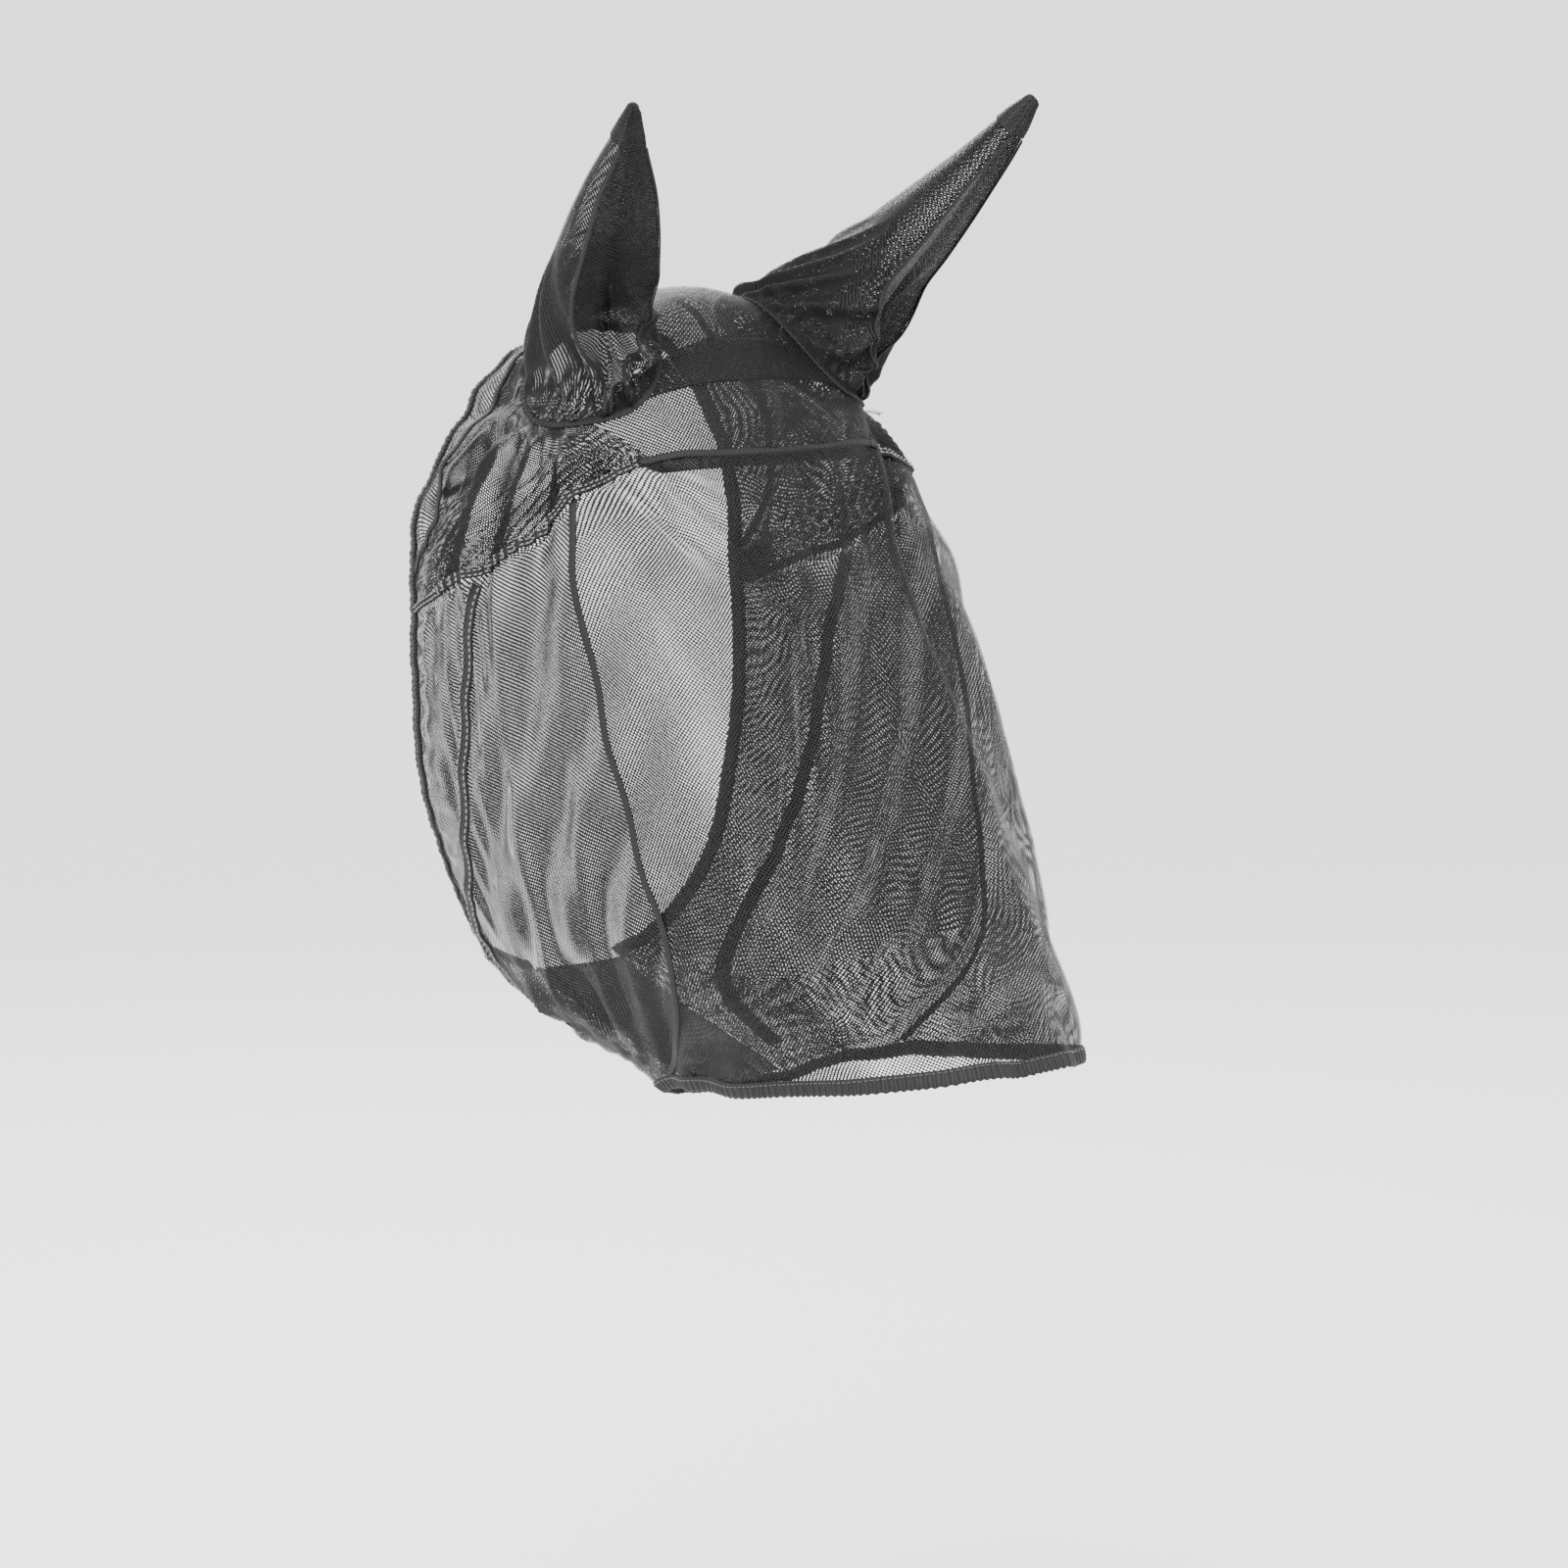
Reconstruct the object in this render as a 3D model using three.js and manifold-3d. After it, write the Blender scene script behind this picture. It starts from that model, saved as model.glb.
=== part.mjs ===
// Fly mask with ear pockets: a net hood and mask for a horse's head, sewn from panels.
// Millimetres, +Z up. The horse faces -Y and its right side is -X.
// The origin is the poll, the top of the head between the ears, where the mask rests.
import * as THREE from "three";
import { mergeVertices } from "three/addons/utils/BufferGeometryUtils.js";
import Module from "manifold-3d";

const wasm = await Module();
wasm.setup();

// ---------- driving sizes ----------
const HEAD_DROP = 405; // from the poll down to the lowest point of the nose hem
const HEAD_BREADTH = 242; // across the cheeks
const HEAD_REACH = 426; // fore and aft, from the front of the nose hem to the back of the full form
const NET_THICKNESS = 1.5; // of each panel's solid
const SEAM_GAP = 2.0; // between two panels that are sewn together
const TAPE_WIDTH = 6;
const TAPE_THICKNESS = 1.0;
const TAPE_LIFT = 0.5; // clear space between a panel and the tape over its seam
const BAND_WIDTH = 9; // the elastic down the back of each cheek
const CASING_HEIGHT = 9; // folded hem, nose and neck
const CASING_THICKNESS = 4;
const CASING_WALL = 0.9;
const ELASTIC_CLEARANCE = 0.55; // all round the elastic in its hem
const FACING_WIDTH = 11;
const FACING_INSET = 1.0; // clear space between the face panel and the facing behind it
const EAR_LENGTH = 184; // from the middle of its base to its tip
const EAR_DEPTH = 80; // fore and aft at the base
const EAR_WIDTH = 66; // across at the base
const EAR_TIP_LENGTH = 20;
const EAR_LIFT = 0.5; // of the pocket's rim over the hood
const EAR_HOLLOW = 0.22; // how far the front panel sinks into the ear, as a share of its radius
const EAR_FRONT_START = 0.3 * Math.PI; // the front panel runs from here, on the outer side ...
const EAR_FRONT_END = 0.86 * Math.PI; // ... to here, on the inner side
const EAR_RING_WIDTH = 4; // of the gathered seam round its base
const EAR_RING_GAP = 1; // between the edge of the hole and that seam
const EAR_PLUG_REACH = 45;
const EAR_BOW = 5; // how far the ear bows forward at the middle of its length
const EAR_CLEARANCE = 4.5; // between the pocket's rim and the edge of its hole
const EAR_SEAM_WIDTH = 3;
const EAR_SEAM_LIFT = 1.3; // clear space between the pocket and the tape over its seam
const FLAP_WIDTH = 52;
const FLAP_THICKNESS = 1.8;
const FLAP_END_GAP = 6; // between the flaps and the hems at each end
const STRIP_WIDTH = 20;
const STRIP_THICKNESS = 1.2;
const LAYER_GAP = 0.4; // between the layers of the closure
const TAG_WIDTH = 8;
const TAG_LENGTH = 9;
const TAG_THICKNESS = 0.9;
const TAG_STAND_OFF = 1.6; // over the hood
const TAG_GAP = 0.8; // between the seam round the ear and the tag
const TAG_ANGLE = 0.44 * Math.PI; // round the ear's base, from its outer side to its front

const RIGHT = -1;
const LEFT = 1;

// ---------- the worn form ----------
// Level stations of the form that the panels follow. drop is a share of HEAD_DROP, half is a share of half
// the breadth, and front, wide and back are shares of the reach from the poll: the front, the widest line
// and the back of the section. square is the power of the superellipse of its front half; 2 is an ellipse.
const STATIONS = [
  { drop: 0.0, front: 0.023, wide: 0.023, back: 0.023, half: 0.0, square: 2.2 },
  { drop: 0.012, front: -0.028, wide: 0.021, back: 0.105, half: 0.24, square: 2.3 },
  { drop: 0.049, front: -0.066, wide: 0.019, back: 0.188, half: 0.435, square: 2.4 },
  { drop: 0.114, front: -0.106, wide: 0.016, back: 0.268, half: 0.675, square: 2.6 },
  { drop: 0.2, front: -0.148, wide: 0.012, back: 0.32, half: 0.885, square: 2.9 },
  { drop: 0.328, front: -0.24, wide: 0.0, back: 0.37, half: 1.01, square: 3.1 },
  { drop: 0.501, front: -0.358, wide: -0.023, back: 0.4, half: 1.0, square: 3.0 },
  { drop: 0.625, front: -0.43, wide: -0.052, back: 0.395, half: 0.98, square: 2.8 },
  { drop: 0.79, front: -0.522, wide: -0.135, back: 0.335, half: 0.885, square: 2.6 },
  { drop: 0.9, front: -0.592, wide: -0.223, back: 0.24, half: 0.755, square: 2.45 },
  { drop: 1.0, front: -0.636, wide: -0.34, back: -0.054, half: 0.64, square: 2.3 },
];
const BACK_SQUARENESS = 2.7;
const HEART = new THREE.Vector3(0, -0.1 * HEAD_REACH, -0.49 * HEAD_DROP);

// A smooth run of values against the places they are given at.
function smoothRun(at, value) {
  const slope = value.map((v, i) => {
    const a = Math.max(i - 1, 0);
    const b = Math.min(i + 1, value.length - 1);
    return (value[b] - value[a]) / (at[b] - at[a]);
  });
  return (x) => {
    let i = 0;
    while (i < at.length - 2 && x > at[i + 1]) i++;
    const span = at[i + 1] - at[i];
    const t = Math.min(Math.max((x - at[i]) / span, 0), 1);
    const past = x - at[i] - t * span;
    const rise = value[i + 1] - value[i];
    const bend = t * (1 - t) * ((1 - t) * (slope[i] * span - rise) - t * (slope[i + 1] * span - rise));
    return value[i] + rise * t + bend + past * slope[i + 1];
  };
}

// The stations' values of one name, against the square root of the drop so that the top closes as a dome.
const runOf = (name) =>
  smoothRun(
    STATIONS.map((s) => Math.sqrt(s.drop)),
    STATIONS.map((s) => s[name]),
  );
const frontRun = runOf("front");
const wideRun = runOf("wide");
const backRun = runOf("back");
const halfRun = runOf("half");
const squareRun = runOf("square");

// How far outside the form a point is: 1 on it, less inside.
function reachOf(p) {
  const x = Math.sqrt(Math.max(-p.z / HEAD_DROP, 1e-7));
  const half = Math.max((halfRun(x) * HEAD_BREADTH) / 2, 1e-3);
  const wide = wideRun(x) * HEAD_REACH;
  const front = p.y < wide;
  const depth = Math.max(front ? wide - frontRun(x) * HEAD_REACH : backRun(x) * HEAD_REACH - wide, 1e-3);
  const power = front ? squareRun(x) : BACK_SQUARENESS;
  const over = p.z > 0 ? p.z : 0;
  return (Math.abs(p.x / half) ** power + Math.abs((p.y - wide) / depth) ** power) ** (1 / power) + over;
}

// The point of the form in the direction of a guide point, seen from the heart of the head.
function onForm(guide, lift = 0) {
  const way = guide.clone().sub(HEART).normalize();
  let near = 1;
  let far = 2 * HEAD_DROP;
  for (let k = 0; k < 40; k++) {
    const mid = (near + far) / 2;
    if (reachOf(HEART.clone().addScaledVector(way, mid)) < 1) near = mid;
    else far = mid;
  }
  const p = HEART.clone().addScaledVector(way, near);
  return lift ? p.addScaledVector(normalAt(p), lift) : p;
}

// The outward direction of the form at a point of it.
function normalAt(p) {
  const step = 0.4;
  const rise = ["x", "y", "z"].map((axis) => {
    const a = p.clone();
    const b = p.clone();
    a[axis] += step;
    b[axis] -= step;
    return reachOf(a) - reachOf(b);
  });
  return new THREE.Vector3(...rise).normalize();
}

// ---------- seam lines ----------
// A guide point given as millimetres on the head that the stations describe, scaled with the driving sizes.
const guide = (x, y, z) =>
  new THREE.Vector3((x * HEAD_BREADTH) / 242, (y * HEAD_REACH) / 426, (z * HEAD_DROP) / 405);

// A smooth line through guide points, for one side of the head, from and to other lines' points if given.
function line(side, points, start = null, end = null) {
  const through = points.map(([x, y, z]) => guide(side * x, y, z));
  if (start) through.unshift(start);
  if (end) through.push(end);
  const curve = new THREE.CatmullRomCurve3(through, false, "centripetal");
  return (t) => curve.getPoint(Math.min(Math.max(t, 0), 1));
}

const HEM_FRONT_Z = -366; // the nose hem is higher at the front ...
const HEM_BACK_Z = -408; // ... than under the chin
// A point of the nose hem; turn 0 is the front, a quarter turn is the given side and a half turn the chin.
function hemGuide(side, turn) {
  const z = (HEAD_DROP / 405) * (HEM_FRONT_Z + (HEM_BACK_Z - HEM_FRONT_Z) * ((1 - Math.cos(turn)) / 2));
  const x = Math.sqrt(-z / HEAD_DROP);
  const forward = Math.cos(turn) > 0;
  const power = 2 / (forward ? squareRun(x) : BACK_SQUARENESS);
  const wide = wideRun(x) * HEAD_REACH;
  const depth = forward ? wide - frontRun(x) * HEAD_REACH : backRun(x) * HEAD_REACH - wide;
  const y = wide - Math.sign(Math.cos(turn)) * depth * Math.abs(Math.cos(turn)) ** power;
  const half = (halfRun(x) * HEAD_BREADTH) / 2;
  return new THREE.Vector3(side * Math.sign(Math.sin(turn)) * half * Math.abs(Math.sin(turn)) ** power, y, z);
}
const FACE_HEM_TURN = 1.9; // where the face seam meets the nose hem

const NECK_POINTS = [
  [0, 84, -22],
  [47, 86, -28],
  [77, 93, -46],
  [96, 97, -78],
  [106, 96, -120],
  [108, 93, -168],
  [111, 98, -228],
  [108, 103, -278],
  [94, 103, -320],
  [60, 100, -352],
  [0, 98, -364],
];
const NECK_NAPE_END = 0.465; // along the neck line, where the nape seam ends
const NECK_SIDE_END = 0.5; // where the side seam ends
const neckLine = (side) => line(side, NECK_POINTS);
const browLine = line(LEFT, [
  [-78, -52, -84],
  [-40, -60, -82],
  [0, -62, -81],
  [40, -60, -82],
  [78, -52, -84],
]);
const browCorner = (side) => browLine(side === RIGHT ? 0 : 1);
const FACE_START = 0.2; // along the side seam, where the face seam leaves it
const FACE_CORNER = 0.1; // share of the face panel's top edge that lies past each corner of the brow
const sideLine = (side) =>
  line(
    side,
    [
      [103, -38, -103],
      [115, -19, -120],
      [117, 12, -138],
      [113, 51, -153],
    ],
    browCorner(side),
    neckLine(side)(NECK_SIDE_END),
  );
const faceLine = (side) =>
  line(
    side,
    [
      [117, -55, -160],
      [116, -85, -253],
      [95, -104, -345],
    ],
    sideLine(side)(FACE_START),
    hemGuide(side, FACE_HEM_TURN),
  );
const CROWN_START = 0.05; // along the brow, where the seam between the crown and the gusset leaves it
const crownSide = (side) =>
  line(
    side,
    [
      [70, -25, -62],
      [66, 12, -48],
      [62, 57, -42],
    ],
    browLine(side === RIGHT ? CROWN_START : 1 - CROWN_START),
  );
const napeLine = (side) =>
  line(
    side,
    [
      [0, 47, -8],
      [35, 50, -16],
      [62, 57, -42],
      [92, 57, -85],
      [104, 66, -120],
    ],
    null,
    neckLine(side)(NECK_NAPE_END),
  );
const NAPE_EAR = 0.4; // along the nape seam, where it passes the ear
const THROAT_HALF = 0.5 * FLAP_WIDTH + 3; // the cheek panels stop this far from the middle of the jaw
const throatBandLine = (side) =>
  line(side, [
    [116, 24, -150],
    [118, 36, -190],
    [117, 42, -228],
    [112, 48, -268],
    [102, 56, -303],
    [84, 66, -338],
    [62, 56, -366],
    [50, 22, -384],
    [44, -12, -397],
  ]);

// ---------- builders ----------
const group = new THREE.Group();

function material(colour, roughness) {
  return new THREE.MeshStandardMaterial({ color: colour, roughness, metalness: 0 });
}
const NET = () => material(0x4a4847, 0.85);
const TAPE = () => material(0x2c2b2c, 0.7);
const ELASTIC = () => material(0x262627, 0.6);
const HOOK = () => material(0x1c1c1d, 0.8);
const LABEL = () => material(0xd8d5d2, 0.6);

function addMesh(name, geometry, finish) {
  const mesh = new THREE.Mesh(geometry, finish);
  mesh.name = name;
  group.add(mesh);
}

// A geometry from points and triangles, turned to face out.
function geometryOf(points, triangles) {
  let volume = 0;
  for (let i = 0; i < triangles.length; i += 3) {
    const [a, b, c] = [0, 1, 2].map((k) => points[triangles[i + k]]);
    volume += a.dot(b.clone().cross(c));
  }
  if (volume < 0) {
    for (let i = 0; i < triangles.length; i += 3) {
      [triangles[i + 1], triangles[i + 2]] = [triangles[i + 2], triangles[i + 1]];
    }
  }
  const made = new THREE.BufferGeometry();
  made.setAttribute("position", new THREE.Float32BufferAttribute(points.flatMap((p) => p.toArray()), 3));
  made.setIndex(triangles);
  return made;
}

// Outward normals of a grid of points, from its own neighbours. outside is a point the normals face away from.
function gridNormals(grid, outside) {
  const rows = grid.length - 1;
  const cols = grid[0].length - 1;
  return grid.map((row, i) =>
    row.map((p, j) => {
      const down = grid[Math.min(i + 1, rows)][j].clone().sub(grid[Math.max(i - 1, 0)][j]);
      const along = grid[i][Math.min(j + 1, cols)].clone().sub(grid[i][Math.max(j - 1, 0)]);
      const n = down.cross(along).normalize();
      return n.dot(p.clone().sub(outside)) < 0 ? n.negate() : n;
    }),
  );
}

// A closed body between an outer grid and an inner grid of the same shape.
function shellOf(outer, inner) {
  const rows = outer.length;
  const cols = outer[0].length;
  const points = [...outer.flat(), ...inner.flat()];
  const at = (layer, i, j) => layer * rows * cols + i * cols + j;
  const triangles = [];
  const quad = (a, b, c, d) => triangles.push(a, b, c, a, c, d);
  for (let i = 0; i < rows - 1; i++) {
    for (let j = 0; j < cols - 1; j++) {
      quad(at(0, i, j), at(0, i + 1, j), at(0, i + 1, j + 1), at(0, i, j + 1));
      quad(at(1, i, j), at(1, i, j + 1), at(1, i + 1, j + 1), at(1, i + 1, j));
    }
  }
  for (let j = 0; j < cols - 1; j++) {
    quad(at(0, 0, j), at(0, 0, j + 1), at(1, 0, j + 1), at(1, 0, j));
    quad(at(0, rows - 1, j + 1), at(0, rows - 1, j), at(1, rows - 1, j), at(1, rows - 1, j + 1));
  }
  for (let i = 0; i < rows - 1; i++) {
    quad(at(0, i + 1, 0), at(0, i, 0), at(1, i, 0), at(1, i + 1, 0));
    quad(at(0, i, cols - 1), at(0, i + 1, cols - 1), at(1, i + 1, cols - 1), at(1, i, cols - 1));
  }
  return geometryOf(points, triangles);
}

// A bar of a given section along a path. The section is a closed list of [across, out] in each frame.
function sweep(frames, section, closed) {
  const n = section.length;
  const points = frames.flatMap(({ at, across, out }) =>
    section.map(([a, o]) => at.clone().addScaledVector(across, a).addScaledVector(out, o)),
  );
  const triangles = [];
  const last = closed ? frames.length : frames.length - 1;
  for (let i = 0; i < last; i++) {
    const next = (i + 1) % frames.length;
    for (let k = 0; k < n; k++) {
      const l = (k + 1) % n;
      triangles.push(i * n + k, i * n + l, next * n + l, i * n + k, next * n + l, next * n + k);
    }
  }
  if (!closed) {
    const outline = section.map(([a, o]) => new THREE.Vector2(a, o));
    const clockwise = THREE.ShapeUtils.isClockWise(outline);
    const base = (frames.length - 1) * n;
    for (const [a, b, c] of THREE.ShapeUtils.triangulateShape(outline, [])) {
      if (clockwise) {
        triangles.push(a, b, c, base + a, base + c, base + b);
      } else {
        triangles.push(a, c, b, base + a, base + b, base + c);
      }
    }
  }
  return geometryOf(points, triangles);
}

// Frames along a line of points on the form: out is the form's normal and across lies in the surface.
function formFrames(points, closed, lift) {
  return points.map((p, i) => {
    const count = points.length;
    const before = closed ? points[(i + count - 1) % count] : points[Math.max(i - 1, 0)];
    const after = closed ? points[(i + 1) % count] : points[Math.min(i + 1, count - 1)];
    const along = after.clone().sub(before).normalize();
    const out = normalAt(p);
    const across = new THREE.Vector3().crossVectors(out, along).normalize();
    out.crossVectors(along, across).normalize();
    return { at: p.clone().addScaledVector(out, lift), across, out };
  });
}

const flatSection = (width, low, high) => [
  [-width / 2, low],
  [width / 2, low],
  [width / 2, high],
  [-width / 2, high],
];

// Points of the form along a guide line, from a share of its length to another.
function along(guideLine, from, to, count) {
  return Array.from({ length: count + 1 }, (_, i) => onForm(guideLine(from + ((to - from) * i) / count)));
}

// A panel between four guide lines: top and bottom run with u, left and right run with v.
function patchGrid(top, bottom, left, right, rows, cols, trim) {
  const corner = (u, v) =>
    top(u)
      .multiplyScalar(1 - v)
      .addScaledVector(bottom(u), v)
      .addScaledVector(left(v), 1 - u)
      .addScaledVector(right(v), u)
      .addScaledVector(top(0), -(1 - u) * (1 - v))
      .addScaledVector(top(1), -u * (1 - v))
      .addScaledVector(bottom(0), -(1 - u) * v)
      .addScaledVector(bottom(1), -u * v);
  const trimU = trim / (2 * top(0.5).distanceTo(top(0)) + 2 * bottom(0.5).distanceTo(bottom(0)));
  const trimV = trim / (2 * top(0.5).distanceTo(bottom(0.5)));
  return Array.from({ length: rows + 1 }, (_, i) =>
    Array.from({ length: cols + 1 }, (_, j) => {
      const u = trimU + (1 - 2 * trimU) * (j / cols);
      const v = trimV + (1 - 2 * trimV) * (i / rows);
      return onForm(corner(u, v));
    }),
  );
}

// Part of a line, read from 0 to 1.
const part = (whole, from, to) => (t) => whole(from + (to - from) * t);
// The straight guide between two points.
const straight = (a, b) => (t) => a.clone().lerp(b, t);

// ---------- cutting ----------
function solidOf(geometry) {
  const bare = new THREE.BufferGeometry();
  bare.setAttribute("position", geometry.getAttribute("position"));
  bare.setIndex(geometry.getIndex());
  const merged = mergeVertices(bare, 1e-4);
  return new wasm.Manifold(
    new wasm.Mesh({
      numProp: 3,
      vertProperties: merged.attributes.position.array,
      triVerts: new Uint32Array(merged.index.array),
    }),
  );
}

function geometryOfSolid(solid) {
  const mesh = solid.getMesh();
  const made = new THREE.BufferGeometry();
  made.setAttribute("position", new THREE.BufferAttribute(mesh.vertProperties, 3));
  made.setIndex(new THREE.BufferAttribute(mesh.triVerts, 1));
  return made;
}

function cut(geometry, ...tools) {
  let solid = solidOf(geometry);
  for (const tool of tools) solid = solid.subtract(solidOf(tool));
  return geometryOfSolid(solid);
}

// ---------- ears ----------
// The middle of the ear's hole, the hood's normal there, and the ear's own directions.
function earFrame(side) {
  const base = onForm(guide(side * 66, 4, -38));
  const up = normalAt(base);
  const axis = new THREE.Vector3(side * 66, -125, 138).normalize();
  const fore = new THREE.Vector3(side * 0.43, -0.62, -0.66);
  return { side, base, up, axis, fore };
}

// The ear's half sizes along its length, as shares of those at its base.
const EAR_STATIONS = [
  { share: 0, depth: 1, width: 1 },
  { share: 0.2, depth: 0.8, width: 0.9 },
  { share: 0.47, depth: 0.55, width: 0.74 },
  { share: 0.73, depth: 0.31, width: 0.5 },
  { share: 0.93, depth: 0.15, width: 0.19 },
  { share: 1, depth: 0.06, width: 0.07 },
];
const earRun = (name) =>
  smoothRun(
    EAR_STATIONS.map((s) => s.share),
    EAR_STATIONS.map((s) => s[name]),
  );
const earDepthRun = earRun("depth");
const earWidthRun = earRun("width");

// The section of the ear at a share of its length: its middle, its directions and its half sizes.
function earSection(frame, share) {
  const middle = frame.base.clone().addScaledVector(frame.axis, EAR_LENGTH * share);
  const lean = THREE.MathUtils.smoothstep(share, 0, 0.35);
  const normal = frame.up.clone().lerp(frame.axis, lean).normalize();
  const fore = frame.fore.clone().addScaledVector(normal, -frame.fore.dot(normal)).normalize();
  const out = new THREE.Vector3().crossVectors(fore, normal).normalize();
  if (out.x * frame.side < 0) out.negate();
  middle.addScaledVector(fore, EAR_BOW * Math.sin(Math.PI * share));
  const halfDepth = (EAR_DEPTH / 2) * earDepthRun(share);
  const halfWidth = (EAR_WIDTH / 2) * earWidthRun(share);
  return { middle, fore, out, halfDepth, halfWidth };
}

// A point of the ear's skin; angle 0 faces out and a quarter turn is its front edge. The rim at share 0
// lies on the hood, and the panel over the hollow sinks in.
function earPoint(frame, share, angle, grow = 0) {
  const s = earSection(frame, share);
  const place = (section, extra) =>
    section.middle
      .clone()
      .addScaledVector(section.out, (section.halfWidth * hollow(share, angle) + extra) * Math.cos(angle))
      .addScaledVector(section.fore, (section.halfDepth * hollow(share, angle) + extra) * Math.sin(angle));
  const rim = place(earSection(frame, 0), 0);
  const settle = onForm(rim).sub(rim).addScaledVector(frame.up, EAR_LIFT);
  return place(s, grow).addScaledVector(settle, 1 - THREE.MathUtils.smoothstep(share, 0, 0.3));
}

function hollow(share, angle) {
  const across = (angle - EAR_FRONT_START) / (EAR_FRONT_END - EAR_FRONT_START);
  if (across <= 0 || across >= 1) return 1;
  return 1 - EAR_HOLLOW * Math.sin(Math.PI * across) ** 2 * THREE.MathUtils.smoothstep(share, 0, 0.25);
}

const TIP_START = 1 - EAR_TIP_LENGTH / EAR_LENGTH;
const EAR_ROWS = 8;

// A panel of the ear from one angle to another, from the rim to the tip piece.
function earPanel(frame, from, to, cols) {
  const last = TIP_START - SEAM_GAP / EAR_LENGTH;
  const outer = [];
  const inner = [];
  for (let i = 0; i <= EAR_ROWS; i++) {
    const share = (last * i) / EAR_ROWS;
    const s = earSection(frame, share);
    const trim = SEAM_GAP / 2 / Math.min(s.halfDepth, s.halfWidth);
    const angles = Array.from({ length: cols + 1 }, (_, j) => from + trim + ((to - from - 2 * trim) * j) / cols);
    outer.push(angles.map((angle) => earPoint(frame, share, angle)));
    inner.push(angles.map((angle) => earPoint(frame, share, angle, -NET_THICKNESS)));
  }
  return shellOf(outer, inner);
}

// The doubled tip, a small closed cap.
function earTip(frame) {
  const sides = 12;
  const shares = [TIP_START, TIP_START + 0.35 * (1 - TIP_START), TIP_START + 0.7 * (1 - TIP_START), 0.995];
  const points = shares.flatMap((share) =>
    Array.from({ length: sides }, (_, k) => earPoint(frame, share, (2 * Math.PI * k) / sides)),
  );
  const triangles = [];
  for (let i = 0; i < shares.length - 1; i++) {
    for (let k = 0; k < sides; k++) {
      const l = (k + 1) % sides;
      const a = i * sides;
      const b = a + sides;
      triangles.push(a + k, a + l, b + l, a + k, b + l, b + k);
    }
  }
  const top = (shares.length - 1) * sides;
  for (let k = 1; k < sides - 1; k++) {
    triangles.push(0, k + 1, k, top, top + k, top + k + 1);
  }
  return geometryOf(points, triangles);
}

// The tape over one long seam of the ear, at an angle of its section.
function earSeam(frame, angle) {
  const rows = 12;
  const first = 0.06;
  const last = TIP_START - SEAM_GAP / EAR_LENGTH;
  const frames = Array.from({ length: rows + 1 }, (_, i) => {
    const share = first + ((last - first) * i) / rows;
    const at = earPoint(frame, share, angle, EAR_SEAM_LIFT);
    const before = earPoint(frame, share - 0.01, angle, EAR_SEAM_LIFT);
    const after = earPoint(frame, share + 0.01, angle, EAR_SEAM_LIFT);
    const way = after.sub(before).normalize();
    const out = at.clone().sub(earSection(frame, share).middle);
    out.addScaledVector(way, -out.dot(way)).normalize();
    return { at, across: new THREE.Vector3().crossVectors(out, way), out };
  });
  return sweep(frames, flatSection(EAR_SEAM_WIDTH, 0, TAPE_THICKNESS), false);
}

// A point beside the ear's base, a given distance outside the pocket's rim.
function besideEar(frame, distance, angle) {
  const s = earSection(frame, 0);
  return s.middle
    .clone()
    .addScaledVector(s.out, (s.halfWidth + distance) * Math.cos(angle))
    .addScaledVector(s.fore, (s.halfDepth + distance) * Math.sin(angle));
}

const roundEar = (frame, distance, count) =>
  Array.from({ length: count }, (_, k) => besideEar(frame, distance, (2 * Math.PI * k) / count));

// The closed plug that cuts the ear's hole out of the hood.
function earPlug(frame) {
  const rim = roundEar(frame, EAR_CLEARANCE, 24);
  const points = [-EAR_PLUG_REACH, EAR_PLUG_REACH].flatMap((lift) =>
    rim.map((p) => p.clone().addScaledVector(frame.up, lift)),
  );
  const n = rim.length;
  const triangles = [];
  for (let k = 0; k < n; k++) {
    const l = (k + 1) % n;
    triangles.push(k, l, n + l, k, n + l, n + k);
  }
  for (let k = 1; k < n - 1; k++) triangles.push(0, k + 1, k, n, n + k, n + k + 1);
  return geometryOf(points, triangles);
}

function addEar(side, suffix) {
  const frame = earFrame(side);
  const ring = roundEar(frame, EAR_CLEARANCE + EAR_RING_GAP + EAR_RING_WIDTH / 2, 32).map((p) => onForm(p));
  addMesh("ear_back_" + suffix, earPanel(frame, EAR_FRONT_END, EAR_FRONT_START + 2 * Math.PI, 13), NET());
  addMesh("ear_front_" + suffix, earPanel(frame, EAR_FRONT_START, EAR_FRONT_END, 6), NET());
  addMesh("ear_tip_" + suffix, earTip(frame), NET());
  addMesh("ear_outer_seam_" + suffix, earSeam(frame, EAR_FRONT_START), TAPE());
  addMesh("ear_inner_seam_" + suffix, earSeam(frame, EAR_FRONT_END), TAPE());
  const section = flatSection(EAR_RING_WIDTH, 0, TAPE_THICKNESS);
  addMesh("ear_base_seam_" + suffix, sweep(formFrames(ring, true, TAPE_LIFT), section, true), TAPE());
}

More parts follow.
